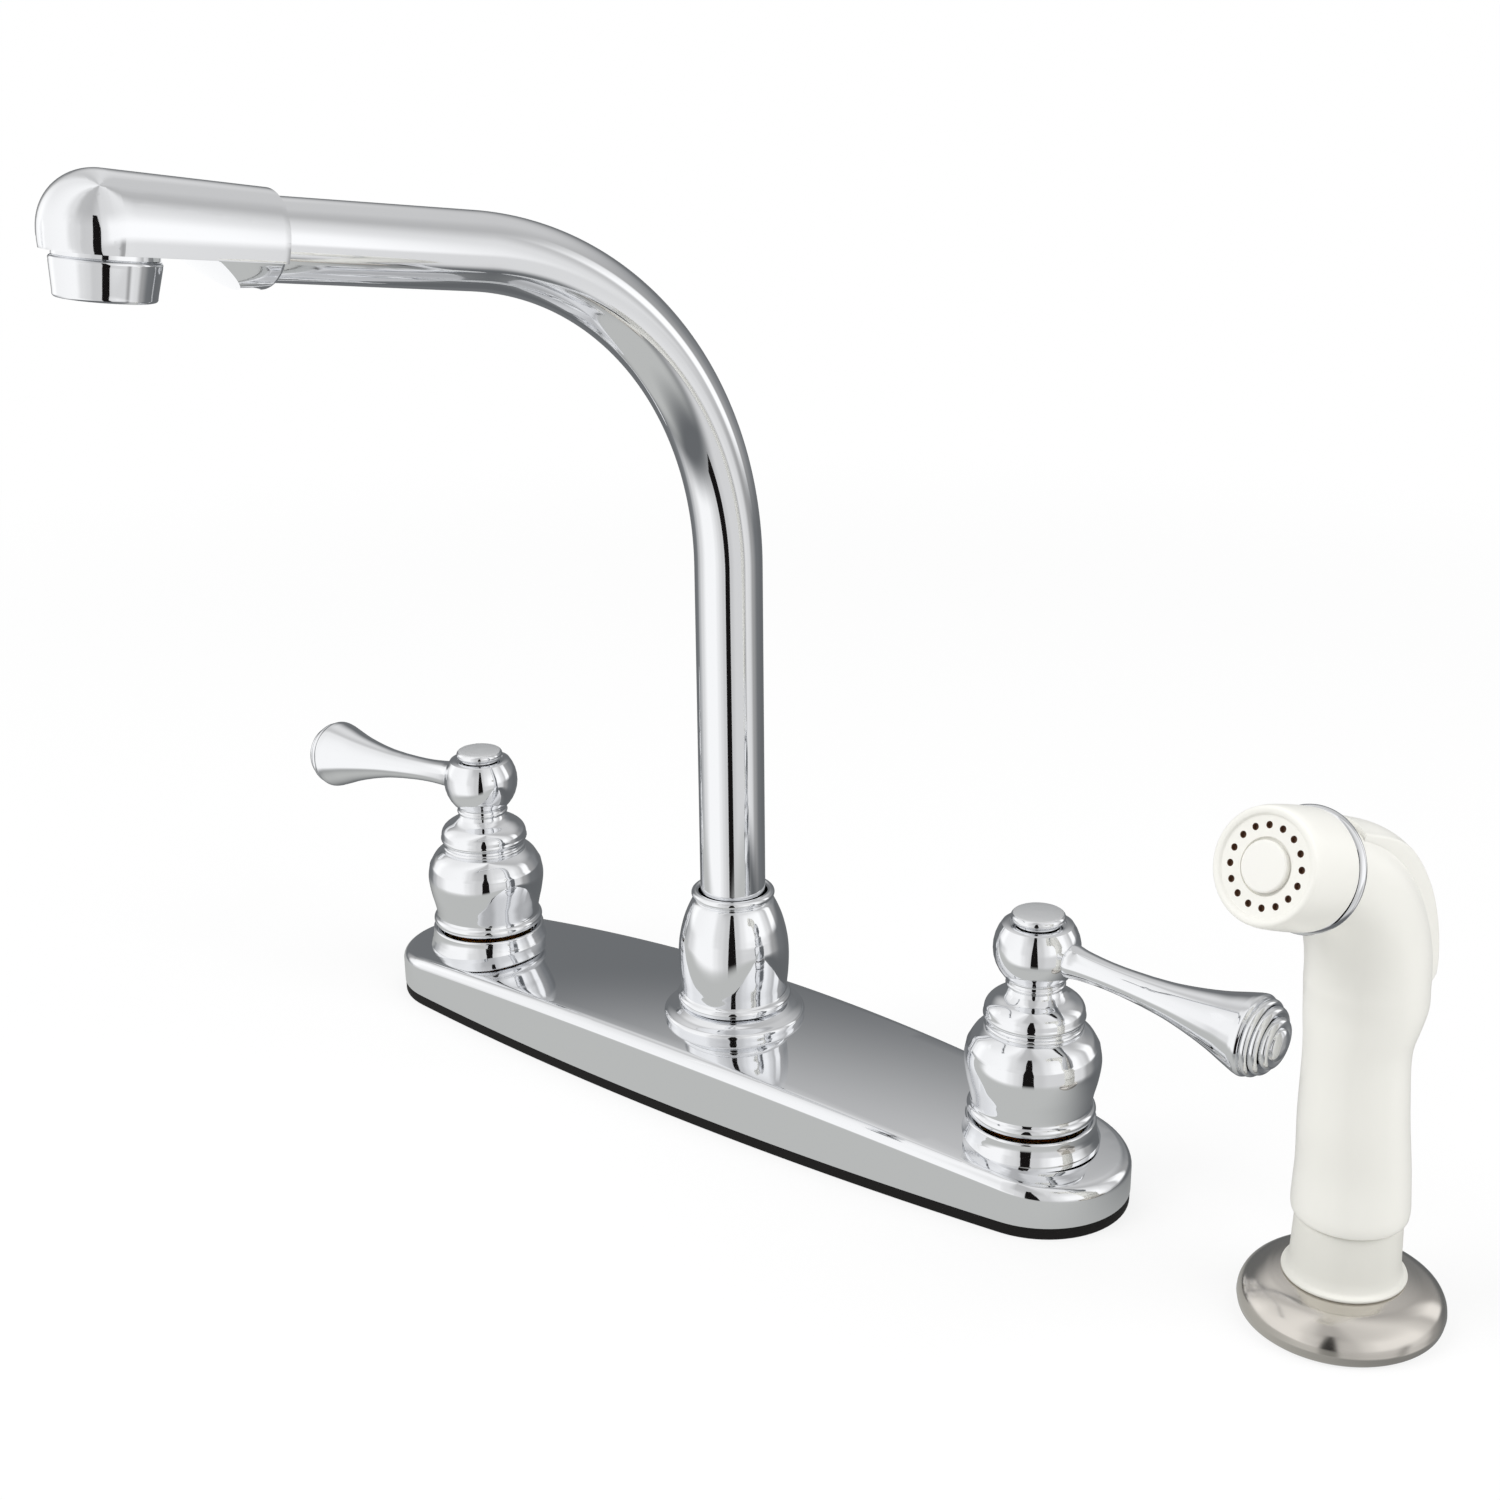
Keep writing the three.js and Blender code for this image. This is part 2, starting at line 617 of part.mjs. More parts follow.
function indexButton() {
  const bottom = BALL_CUT + FIT;
  const top = bottom + BUTTON_THICKNESS;
  return turned([
    [0, bottom - BUTTON_THICKNESS],
    [BUTTON_PLUG, bottom - BUTTON_THICKNESS],
    [BUTTON_PLUG, bottom],
    [BUTTON_RADIUS - 0.3, bottom],
    [BUTTON_RADIUS, bottom + 0.4],
    ...rounded(BUTTON_RADIUS - 1.3, top - 1.3, 1.3, 0, 80, 3),
    [0, top + 0.2],
  ]);
}

function handleScrew() {
  const seat = STEM_TOP + FIT + HANDLE_WEB + FIT;
  const screw = turned([
    [0, seat - SCREW_LENGTH],
    [SCREW_RADIUS, seat - SCREW_LENGTH],
    [SCREW_RADIUS, seat],
    [SCREW_HEAD, seat],
    [SCREW_HEAD - 0.6, seat + 2.2],
    [0, seat + 2.2],
  ]);
  const slot = box([-SCREW_HEAD, -0.5, seat + 1.2], [SCREW_HEAD, 0.5, seat + 3]);
  return screw.subtract(slot);
}

// One side of the faucet: side is -1 for hot on the left and 1 for cold on the right.
function valveSide(name, side) {
  const arm = group(mesh(name + "_lever", lever(), CHROME));
  arm.position.z = BALL_HEIGHT;
  arm.rotation.set(0, side * (90 + LEVER_DROOP) * DEGREE, -side * LEVER_TURN * DEGREE, "ZYX");
  const made = group(
    mesh(name + "_valve_body", valveBody(side), BRASS),
    mesh(name + "_seat_washer", seatWasher(), RUBBER),
    mesh(name + "_fixed_disc", ceramicDisc(WASHER_TOP + FIT), CERAMIC),
    mesh(name + "_moving_disc", ceramicDisc(FIXED_DISC_TOP + FIT), CERAMIC),
    mesh(name + "_cartridge", cartridge(), GREY_PLASTIC),
    mesh(name + "_stem", valveStem(), BRASS),
    mesh(name + "_bonnet_nut", bonnetNut(), BRASS),
    mesh(name + "_lock_nut", lockNut(), BRASS),
    mesh(name + "_lock_washer", lockWasher(), STEEL),
    mesh(name + "_base_ring", baseRing(side), CHROME),
    mesh(name + "_handle", handleHub(side), CHROME),
    mesh(name + "_handle_screw", handleScrew(), STEEL),
    mesh(name + "_index_button", indexButton(), CHROME),
    arm,
  );
  made.position.x = side * HANDLE_REACH;
  return made;
}

// ---- Waterway between the valves ----------------------------------------------------------

function crossover(side) {
  const start = POST_FOOT_RADIUS - CROSSOVER_SOCKET + FIT;
  const end = HANDLE_REACH - VALVE_RADIUS + CROSSOVER_SOCKET - FIT;
  const pipe = tube(CROSSOVER_RADIUS, CROSSOVER_RADIUS - 1, start, end);
  return pipe.rotate([0, 90 * side, 0]).translate([0, 0, CROSSOVER_HEIGHT]);
}

// The post the spout turns in, with the threaded outlet for the spray's hose under it.
function spoutPost() {
  const foot = GASKET + FIT;
  const bore = SPOUT_RADIUS + RUN;
  let post = turned(
    [
      [NIPPLE_BORE, -NIPPLE_LENGTH],
      [NIPPLE_RADIUS - 1, -NIPPLE_LENGTH],
      [NIPPLE_RADIUS, -NIPPLE_LENGTH + 1],
      [NIPPLE_RADIUS, foot],
      [POST_FOOT_RADIUS, foot],
      [POST_FOOT_RADIUS, PLATE_TOP - PLATE_WALL - 1.5],
      [POST_RADIUS, PLATE_TOP - PLATE_WALL - 1.5],
      [POST_RADIUS, POST_TOP],
      [bore, POST_TOP],
      [bore, POST_FLOOR],
      [NIPPLE_BORE, POST_FLOOR],
    ],
    FINE,
  );
  for (const height of O_RING_HEIGHTS) {
    const half = O_RING_SECTION + FIT;
    post = post.subtract(tube(bore + 2 * half, bore - 1, height - half, height + half, FINE));
  }
  for (const side of [-1, 1]) {
    const start = POST_FOOT_RADIUS - CROSSOVER_SOCKET;
    const socket = rod(CROSSOVER_RADIUS + FIT, start, POST_FOOT_RADIUS + 1);
    const passage = rod(CROSSOVER_RADIUS - 1.4, 5, POST_FOOT_RADIUS);
    for (const tool of [socket, passage])
      post = post.subtract(tool.rotate([0, 90 * side, 0]).translate([0, 0, CROSSOVER_HEIGHT]));
  }
  return post;
}

function oRing(height) {
  const radius = SPOUT_RADIUS + FIT + O_RING_SECTION;
  const ring = new THREE.TorusGeometry(radius, O_RING_SECTION, 6, PLAIN);
  return solid(ring.translate(0, 0, height));
}

const DIVERTER_RADIUS = SPOUT_RADIUS - 1.3;
const PISTON_BOTTOM = POST_FLOOR + 1.6;

// A cup with a port in its floor. The piston in it lifts when water runs to the spout.
function diverterBody() {
  return turned([
    [NIPPLE_BORE, POST_FLOOR + FIT],
    [DIVERTER_RADIUS, POST_FLOOR + FIT],
    [DIVERTER_RADIUS, SPOUT_FOOT - 1],
    [DIVERTER_RADIUS - 1.4, SPOUT_FOOT - 1],
    [DIVERTER_RADIUS - 1.4, PISTON_BOTTOM - FIT],
    [NIPPLE_BORE, PISTON_BOTTOM - FIT],
  ]);
}

function diverterPiston() {
  return turned([
    [0, PISTON_BOTTOM],
    [DIVERTER_RADIUS - 2.2, PISTON_BOTTOM],
    [DIVERTER_RADIUS - 2.2, PISTON_BOTTOM + 2],
    [2, PISTON_BOTTOM + 2],
    [2, SPOUT_FOOT - DIVERTER_TRAVEL - 2],
    [0, SPOUT_FOOT - DIVERTER_TRAVEL - 2],
  ]);
}

// ---- Spout --------------------------------------------------------------------------------

function spoutFlange() {
  const seat = PLATE_TOP - 2;
  const top = PLATE_TOP + FLANGE_HEIGHT;
  const ring = turned(
    [
      [POST_RADIUS + FIT, seat],
      [FLANGE_RADIUS, seat],
      ...rounded(FLANGE_RADIUS - 1.6, PLATE_TOP + 2, 1.6, 0, 75, 3),
      [BONNET_FOOT_RADIUS - 0.6, top - 0.8],
      [BONNET_FOOT_RADIUS - 1.2, top],
      [POST_RADIUS + FIT, top],
    ],
    FINE,
  );
  return ring.subtract(plateForm(0, 0, -FIT));
}

function spoutBonnet() {
  const foot = PLATE_TOP + FLANGE_HEIGHT + FIT;
  const shoulder = POST_TOP + 2 * FIT + COLLET_THICKNESS;
  const body = smooth(
    [
      [BONNET_RADIUS - 0.7, foot + 4.6],
      [BONNET_RADIUS, foot + 12],
      [BONNET_RADIUS - 1, foot + 20],
      [BONNET_RADIUS - 2.8, foot + 24.4],
      [BONNET_TOP_RADIUS - 1.1, foot + 29],
      [BONNET_TOP_RADIUS - 1.5, BONNET_TOP - 3.4],
    ],
    9,
  );
  return turned(
    [
      ...rounded(BONNET_FOOT_RADIUS - 1.7, foot + 1.7, 1.7, -90, 70, 3),
      ...body,
      ...rounded(BONNET_TOP_RADIUS - 1.6, BONNET_TOP - 1.6, 1.6, -50, 90, 4),
      [SPOUT_RADIUS + RUN, BONNET_TOP],
      [SPOUT_RADIUS + RUN, shoulder],
      [POST_RADIUS + FIT, shoulder],
      [POST_RADIUS + FIT, foot],
    ],
    FINE,
  );
}

// A ring on the tube that the bonnet holds down.
function collet() {
  const bottom = POST_TOP + FIT;
  return tube(POST_RADIUS - 0.4, SPOUT_RADIUS + FIT, bottom, bottom + COLLET_THICKNESS, FINE);
}

// The middle line of the spout: up, round the bend and out along the arm.
function spoutLine(end) {
  const bend = SPOUT_BEND * DEGREE;
  const pull = (4 / 3) * Math.tan(bend / 4) * SPOUT_BEND_RADIUS;
  const along = new THREE.Vector3(0, -Math.sin(bend), Math.cos(bend));
  const foot = new THREE.Vector3(0, 0, SPOUT_FOOT);
  const start = new THREE.Vector3(0, 0, SPOUT_RISE);
  const stop = spoutBendEnd();
  const line = new THREE.CurvePath();
  line.add(new THREE.LineCurve3(foot, start));
  line.add(
    new THREE.CubicBezierCurve3(
      start,
      start.clone().add(new THREE.Vector3(0, 0, pull)),
      stop.clone().addScaledVector(along, -pull),
      stop,
    ),
  );
  line.add(new THREE.LineCurve3(stop, stop.clone().addScaledVector(along, end)));
  return line;
}

function spoutBendEnd() {
  const bend = SPOUT_BEND * DEGREE;
  return new THREE.Vector3(
    0,
    -SPOUT_BEND_RADIUS * (1 - Math.cos(bend)),
    SPOUT_RISE + SPOUT_BEND_RADIUS * Math.sin(bend),
  );
}

function spoutTube() {
  const section = new THREE.Shape().absarc(0, 0, SPOUT_RADIUS, 0, 2 * Math.PI);
  section.holes.push(
    new THREE.Path().absarc(0, 0, SPOUT_RADIUS - SPOUT_WALL, 0, 2 * Math.PI, true),
  );
  const extrudePath = spoutLine(HEAD_START + HEAD_SOCKET - FIT);
  return solid(
    new THREE.ExtrudeGeometry(section, { steps: 26, curveSegments: 8, extrudePath }),
  );
}

// The head and aerator are drawn with the arm along -Y, from the end of the bend.
function armRadius(u) {
  const share = (u - HEAD_START) / (HEAD_END - HEAD_START);
  return HEAD_RADIUS + (HEAD_END_RADIUS - HEAD_RADIUS) * share;
}

// Side view of the head: slanted cut, flat underside and the rounded nose.
function headSideView() {
  const nose = rounded(HEAD_END - HEAD_NOSE_RADIUS, 0, HEAD_NOSE_RADIUS, 0, 50, 8);
  return [
    [HEAD_START - 1, -HEAD_END_RADIUS],
    [HEAD_START + 7.1, -HEAD_END_RADIUS],
    [HEAD_START + 16.8, -HEAD_FLAT],
    [HEAD_END, -HEAD_FLAT],
    ...nose,
    [HEAD_START - 1, HEAD_END_RADIUS + 4],
  ];
}

function spoutHead() {
  const barrel = turned(
    [
      [0, HEAD_START],
      [HEAD_RADIUS - 1.3, HEAD_START],
      [HEAD_RADIUS - 0.4, HEAD_START + 0.5],
      [HEAD_RADIUS, HEAD_START + 1.6],
      [armRadius(HEAD_END + 1), HEAD_END + 1],
      [0, HEAD_END + 1],
    ],
    FINE,
  );
  const walls = prism(
    [
      [-armRadius(HEAD_START + 2), HEAD_START + 2],
      [armRadius(HEAD_START + 2), HEAD_START + 2],
      [armRadius(HEAD_END), HEAD_END],
      [-armRadius(HEAD_END), HEAD_END],
    ],
    -HEAD_FLAT,
    0,
  );
  const keep = prism(headSideView(), -20, 20).rotate([90, 0, -90]);
  const socket = rod(SPOUT_RADIUS + FIT, HEAD_START - 1, HEAD_START + HEAD_SOCKET, PLAIN);
  const waterway = rod(SPOUT_RADIUS - 2.4, HEAD_START, AERATOR_AT, PLAIN);
  const mouth = rod(AERATOR_THREAD + FIT, -HEAD_FLAT - 1, AERATOR_SEAT, PLAIN);
  const alongArm = (made) => made.rotate([90, 0, 0]);
  let head = alongArm(barrel).add(walls.rotate([0, 0, 180]));
  head = head.intersect(keep);
  head = head.subtract(alongArm(socket)).subtract(alongArm(waterway));
  return head.subtract(mouth.translate([0, -AERATOR_AT, 0]));
}

function aeratorHousing() {
  const top = -HEAD_FLAT - FIT;
  const bottom = -HEAD_FLAT - AERATOR_HEIGHT;
  return turned(
    [
      [AERATOR_THREAD - 1.4, 0],
      [AERATOR_THREAD, 0],
      [AERATOR_THREAD, top],
      [AERATOR_NECK, top],
      [AERATOR_NECK, top - 1.1],
      [AERATOR_RADIUS, top - 1.6],
      [AERATOR_RADIUS, top - 2.2],
      [AERATOR_END_RADIUS, bottom + 0.6],
      [AERATOR_END_RADIUS - 0.6, bottom],
      [AERATOR_END_RADIUS - 1.6, bottom],
      [AERATOR_THREAD - 1.4, bottom + 1.4],
    ],
    FINE,
  );
}

// The perforated insert that mixes air into the water.
function aeratorInsert() {
  const bottom = -HEAD_FLAT - AERATOR_HEIGHT + 1.8;
  const radius = AERATOR_THREAD - 1.4 - FIT;
  let insert = rod(radius, bottom, -1.4, PLAIN);
  const hole = rod(0.7, bottom - 1, 0, 6);
  for (const { count, ring } of AERATOR_HOLES) {
    for (let i = 0; i < count; i++) {
      const angle = (i * 2 * Math.PI) / count;
      insert = insert.subtract(
        hole.translate([ring * Math.cos(angle), ring * Math.sin(angle), 0]),
      );
    }
  }
  return insert;
}

function aeratorWasher() {
  return tube(AERATOR_THREAD - 0.2, AERATOR_THREAD - 3, FIT, AERATOR_SEAT - FIT);
}

function spout() {
  const aerator = group(
    mesh("aerator_housing", aeratorHousing(), CHROME),
    mesh("aerator_insert", aeratorInsert(), GREY_PLASTIC),
    mesh("aerator_washer", aeratorWasher(), RUBBER),
  );
  aerator.position.y = -AERATOR_AT;
  const head = group(mesh("spout_head", spoutHead(), CHROME), aerator);
  head.position.copy(spoutBendEnd());
  head.rotation.x = -(90 - SPOUT_BEND) * DEGREE;
  const made = group(
    mesh("spout_tube", spoutTube(), CHROME),
    mesh("spout_collet", collet(), BRASS),
    head,
  );
  made.rotation.z = -SPOUT_TURN * DEGREE;
  return made;
}

// ---- Side spray ---------------------------------------------------------------------------

function sprayFlange() {
  const dome = smooth(
    [
      [SPRAY_FLANGE_RADIUS - 0.7, 5],
      [SPRAY_FLANGE_RADIUS - 4, 8.6],
      [HOLDER_LIP_RADIUS + 1.6, SPRAY_FLANGE_HEIGHT - 0.3],
      [HOLDER_LIP_RADIUS, SPRAY_FLANGE_HEIGHT],
    ],
    7,
  );
  return turned(
    [
      [HOLDER_SHANK_RADIUS + FIT, 0],
      [SPRAY_FLANGE_RADIUS - 1.2, 0],
      ...rounded(SPRAY_FLANGE_RADIUS - 2.2, 3, 2.2, -40, 40, 4),
      ...dome,
      [HOLDER_SHANK_RADIUS + FIT, SPRAY_FLANGE_HEIGHT],
    ],
    FINE,
  );
}

// The guide that the handset stands in: threaded shank, lip on the flange, collar.
function sprayGuide() {
  const lip = SPRAY_FLANGE_HEIGHT + FIT;
  return turned(
    [
      [HOLDER_BORE, -HOLDER_SHANK_LENGTH],
      [HOLDER_SHANK_RADIUS - 1, -HOLDER_SHANK_LENGTH],
      [HOLDER_SHANK_RADIUS, -HOLDER_SHANK_LENGTH + 1],
      [HOLDER_SHANK_RADIUS, lip],
      [HOLDER_LIP_RADIUS, lip],
      [HOLDER_LIP_RADIUS, lip + 0.7],
      [HOLDER_RADIUS + 0.6, lip + 2.2],
      [HOLDER_RADIUS, lip + 4.4],
      [HOLDER_TOP_RADIUS, HOLDER_TOP - 0.6],
      [HOLDER_TOP_RADIUS - 0.6, HOLDER_TOP],
      [HOLDER_BORE + 1, HOLDER_TOP],
      [HOLDER_BORE, HOLDER_TOP - 1.4],
    ],
    FINE,
  );
}

function sprayGuideNut() {
  const top = -SINK_THICKNESS;
  const bottom = top - GUIDE_NUT_HEIGHT;
  const nut = hexagon(GUIDE_NUT_ACROSS, bottom, top);
  return nut.subtract(rod(HOLDER_SHANK_RADIUS + FIT, bottom - 1, top + 1, FINE));
}

// Brass end of the spray's hose. The handset turns on it.
function hoseCoupling() {
  return turned([
    [3, COUPLING_BOTTOM],
    [COUPLING_RADIUS - 1, COUPLING_BOTTOM],
    [COUPLING_RADIUS, COUPLING_BOTTOM + 1],
    [COUPLING_RADIUS, COUPLING_LEDGE + FIT],
    [COUPLING_FLANGE, COUPLING_LEDGE + FIT],
    [COUPLING_FLANGE, COUPLING_TOP],
    [3, COUPLING_TOP],
  ]);
}

// A round section of the handset: height, distance forward, lean from upright, radius.
function handsetSection(height, forward, lean, radius, sides = FINE) {
  const out = [-Math.cos(lean * DEGREE), Math.sin(lean * DEGREE)];
  const ring = [];
  for (let i = 0; i < sides; i++) {
    const turn = (i / sides) * 2 * Math.PI;
    const across = radius * Math.sin(turn);
    const outward = radius * Math.cos(turn);
    ring.push(
      new THREE.Vector3(across, -(forward + outward * out[0]), height + outward * out[1]),
    );
  }
  return ring;
}

// A place on the bend, at an angle along it and a distance out from its middle line.
function onBend(angle, outward) {
  const reach = BEND_RADIUS + outward;
  return {
    forward: BEND_OFFSET + BEND_RADIUS - reach * Math.cos(angle * DEGREE),
    height: BEND_START + reach * Math.sin(angle * DEGREE),
  };
}

// Sections of the bent neck with their radii changed by an offset.
function neckSections(offset) {
  return BEND_RADII.map((radius, i) => {
    const angle = (BEND_ANGLE * i) / (BEND_RADII.length - 1);
    const { forward, height } = onBend(angle, 0);
    return handsetSection(height, forward, angle, radius + offset);
  });
}

// The middle of the trim ring, at the end of the short straight run after the bend.
function trimPlace() {
  const { forward, height } = onBend(BEND_ANGLE, 0);
  const lean = BEND_ANGLE * DEGREE;
  return {
    forward: forward + NECK_STRAIGHT * Math.sin(lean),
    height: height + NECK_STRAIGHT * Math.cos(lean),
  };
}

// What lies over the neck's back in side view, from the trigger's lip to its front end.
function triggerRegion(halfWidth, lip, front) {
  const inner = [];
  for (let i = 0; i <= 6; i++) {
    const { forward, height } = onBend((front * i) / 6, 2);
    inner.push([forward, height]);
  }
  const far = onBend(front, PAST_NECK);
  const outline = [
    [BEND_OFFSET - 2, lip],
    ...inner,
    [far.forward, far.height],
    [BEND_OFFSET - PAST_NECK, far.height],
    [BEND_OFFSET - PAST_NECK, lip],
  ];
  return prism(outline, -halfWidth, halfWidth).rotate([90, 0, -90]);
}

function sprayBody() {
  const grip = GRIP_SECTIONS.map(([z, e, r]) => handsetSection(z, e, 0, r));
  const end = trimPlace();
  const nose = TRIM_HALF_WIDTH + FIT;
  const lean = BEND_ANGLE * DEGREE;
  const last = handsetSection(
    end.height - nose * Math.cos(lean),
    end.forward - nose * Math.sin(lean),
    BEND_ANGLE,
    BEND_RADII[BEND_RADII.length - 1],
  );
  let body = loft([...grip, ...neckSections(0), last]);
  body = body.subtract(rod(COUPLING_RADIUS + RUN, 0, COUPLING_LEDGE + 1, PLAIN));
  body = body.subtract(handsetBore());
  const seat = rod(NOZZLE_SEAT + FIT, -NOZZLE_SEAT_DEPTH - FIT, 2, PLAIN);
  body = body.subtract(atTrim(seat));
  return body.subtract(triggerRecess()).subtract(valveBore()).subtract(crossPin(FIT * 0.5));
}

// The waterway from the coupling to the nozzle.
function handsetBore() {
  const [waist, ahead] = GRIP_SECTIONS[6];
  const chamber = [
    handsetSection(COUPLING_LEDGE, 0, 0, HANDSET_BORE, PLAIN),
    handsetSection(COUPLING_TOP + 3, 0, 0, HANDSET_BORE, PLAIN),
    handsetSection(waist, ahead, 0, HANDSET_BORE - 1, PLAIN),
    handsetSection(BEND_START - 4, BEND_OFFSET, 0, NECK_BORE, PLAIN),
  ];
  const bend = [0, 18, 36, 54, BEND_ANGLE].map((angle) => {
    const { forward, height } = onBend(angle, 0);
    return handsetSection(height, forward, angle, NECK_BORE, PLAIN);
  });
  return loft([...chamber, ...bend]);
}

function atTrim(made) {
  const { forward, height } = trimPlace();
  return made.rotate([BEND_ANGLE, 0, 0]).translate([0, -forward, height]);
}

// The hollow in the neck that the trigger sinks into, with the pocket for its hinge.
function triggerRecess() {
  const floor = -FIT - TRIGGER_TRAVEL;
  const low = GRIP_SECTIONS.slice(-2).map(([z, e, r]) => handsetSection(z, e, 0, r + floor));
  const keep = loft([...low, ...neckSections(floor)]);
  const region = triggerRegion(
    TRIGGER_HALF_WIDTH + RUN,
    TRIGGER_LIP - TRIGGER_NOTCH,
    TRIGGER_FRONT + 1.5,
  );
  const pin = onBend(PIN_AT, PIN_OUT);
  const pocket = rod(PIN_RADIUS + 2, -TRIGGER_HALF_WIDTH - RUN, TRIGGER_HALF_WIDTH + RUN);
  const around = pocket.rotate([0, 90, 0]).translate([0, -pin.forward, pin.height]);
  return region.subtract(keep).add(around);
}

function crossPin(extra) {
  const pin = onBend(PIN_AT, PIN_OUT);
  const half = TRIGGER_HALF_WIDTH + 1.5 + extra;
  const laid = rod(PIN_RADIUS + extra, -half, half, 12).rotate([0, 90, 0]);
  return laid.translate([0, -pin.forward, pin.height]);
}

// Bore for the valve's plunger and the seat of its spring, upright over the waterway.
function valveBore() {
  const seat = rod(SPRING_RADIUS + 1.2, SPRING_BOTTOM - FIT, BEND_START + BEND_RADIUS + 9);
  return seat.add(rod(PLUNGER_RADIUS + FIT, PLUNGER_BOTTOM, SPRING_BOTTOM, 12));
}

// The thumb trigger: a shell over the back of the neck, hinged at its front end.
function sprayTrigger() {
  const low = handsetSection(TRIGGER_LIP - 4, BEND_OFFSET, 0, BEND_RADII[0] + TRIGGER_RISE);
  const under = handsetSection(TRIGGER_LIP - 4, BEND_OFFSET, 0, BEND_RADII[0] - FIT);
  const outer = loft([low, ...neckSections(TRIGGER_RISE)]);
  const inner = loft([under, ...neckSections(-FIT)]);
  const region = triggerRegion(TRIGGER_HALF_WIDTH, TRIGGER_LIP, TRIGGER_FRONT);
  let shell = outer.subtract(inner).intersect(region);
  const peg = rod(PLUNGER_RADIUS + 0.8, PLUNGER_TOP + FIT, BEND_START + BEND_RADIUS + 9, 12);
  shell = shell.add(peg.intersect(outer).intersect(region));
  const pin = onBend(PIN_AT, PIN_OUT);
  const lug = rod(PIN_RADIUS + 1.3, -TRIGGER_HALF_WIDTH, TRIGGER_HALF_WIDTH);
  shell = shell.add(lug.rotate([0, 90, 0]).translate([0, -pin.forward, pin.height]));
  return shell.subtract(crossPin(RUN));
}

function valvePlunger() {
  const top = PLUNGER_TOP;
  return turned([
    [0, PLUNGER_BOTTOM],
    [2 * PLUNGER_RADIUS, PLUNGER_BOTTOM],
    [2 * PLUNGER_RADIUS, PLUNGER_BOTTOM + 1.4],
    [PLUNGER_RADIUS, PLUNGER_BOTTOM + 1.4],
    [PLUNGER_RADIUS, top - 1],
    [SPRING_RADIUS + 0.4, top - 1],
    [SPRING_RADIUS + 0.4, top],
    [0, top],
  ]);
}

// Coil points for the return spring.
class Coil extends THREE.Curve {
  getPoint(share, target = new THREE.Vector3()) {
    const turn = share * SPRING_TURNS * 2 * Math.PI;
    const length = PLUNGER_TOP - 1 - SPRING_BOTTOM - 2 * (SPRING_WIRE + 0.1);
    const height = SPRING_BOTTOM + SPRING_WIRE + 0.1 + share * length;
    return target.set(SPRING_RADIUS * Math.cos(turn), SPRING_RADIUS * Math.sin(turn), height);
  }
}

function returnSpring() {
  const section = new THREE.Shape().absarc(0, 0, SPRING_WIRE, 0, 2 * Math.PI);
  const steps = SPRING_TURNS * 10;
  return solid(
    new THREE.ExtrudeGeometry(section, { steps, curveSegments: 3, extrudePath: new Coil() }),
  );
}

// These three are drawn about the nozzle's own axis, with the trim ring's middle at zero.
function trimRing() {
  const width = TRIM_HALF_WIDTH;
  return turned(
    [
      [NOZZLE_SEAT + FIT, -width],
      [TRIM_RADIUS - 0.5, -width],
      ...rounded(TRIM_RADIUS - width, 0, width, -60, 60, 4),
      [TRIM_RADIUS - 0.5, width],
      [NOZZLE_SEAT + FIT, width],
    ],
    FINE,
  );
}

function sprayNozzle() {
  const back = TRIM_HALF_WIDTH + FIT;
  const plate = NOZZLE_FACE - 0.8;
  let nozzle = turned(
    [
      [NOZZLE_SEAT - 1.6, -NOZZLE_SEAT_DEPTH],
      [NOZZLE_SEAT, -NOZZLE_SEAT_DEPTH],
      [NOZZLE_SEAT, back],
      [NOZZLE_RADIUS, back],
      [NOZZLE_RADIUS - 0.1, NOZZLE_FACE - 6],
      ...rounded(NOZZLE_RIM_RADIUS - 1, NOZZLE_FACE - 1, 1, 0, 90, 3),
      [NOZZLE_PLATE_RADIUS, NOZZLE_FACE - 0.2],
      [NOZZLE_PLATE_RADIUS - 0.3, plate],
      [1.8, plate],
      [1.8, plate - 1.6],
      [NOZZLE_PLATE_RADIUS, plate - 1.6],
      [NOZZLE_PLATE_RADIUS, back + 2],
      [NOZZLE_SEAT - 1.6, back],
    ],
    FINE,
  );
  const hole = rod(NOZZLE_HOLE_RADIUS, plate - 2, plate + 1, 6);
  for (let i = 0; i < NOZZLE_HOLES; i++) {
    const angle = ((i + 0.5) * 2 * Math.PI) / NOZZLE_HOLES;
    const spot = [NOZZLE_HOLE_RING * Math.cos(angle), NOZZLE_HOLE_RING * Math.sin(angle), 0];
    nozzle = nozzle.subtract(hole.translate(spot));
  }
  return nozzle;
}

// Raised disc in the middle of the face, on a stub through the plate.
function nozzleCore() {
  const seat = NOZZLE_FACE - 0.8 + FIT;
  return turned([
    [0, seat - 4],
    [1.5, seat - 4],
    [1.5, seat],
    [NOZZLE_CORE_RADIUS, seat],
    [NOZZLE_CORE_RADIUS, seat + 0.4],
    [NOZZLE_CORE_RADIUS - 0.5, seat + 0.8],
    [0, seat + 0.9],
  ]);
}

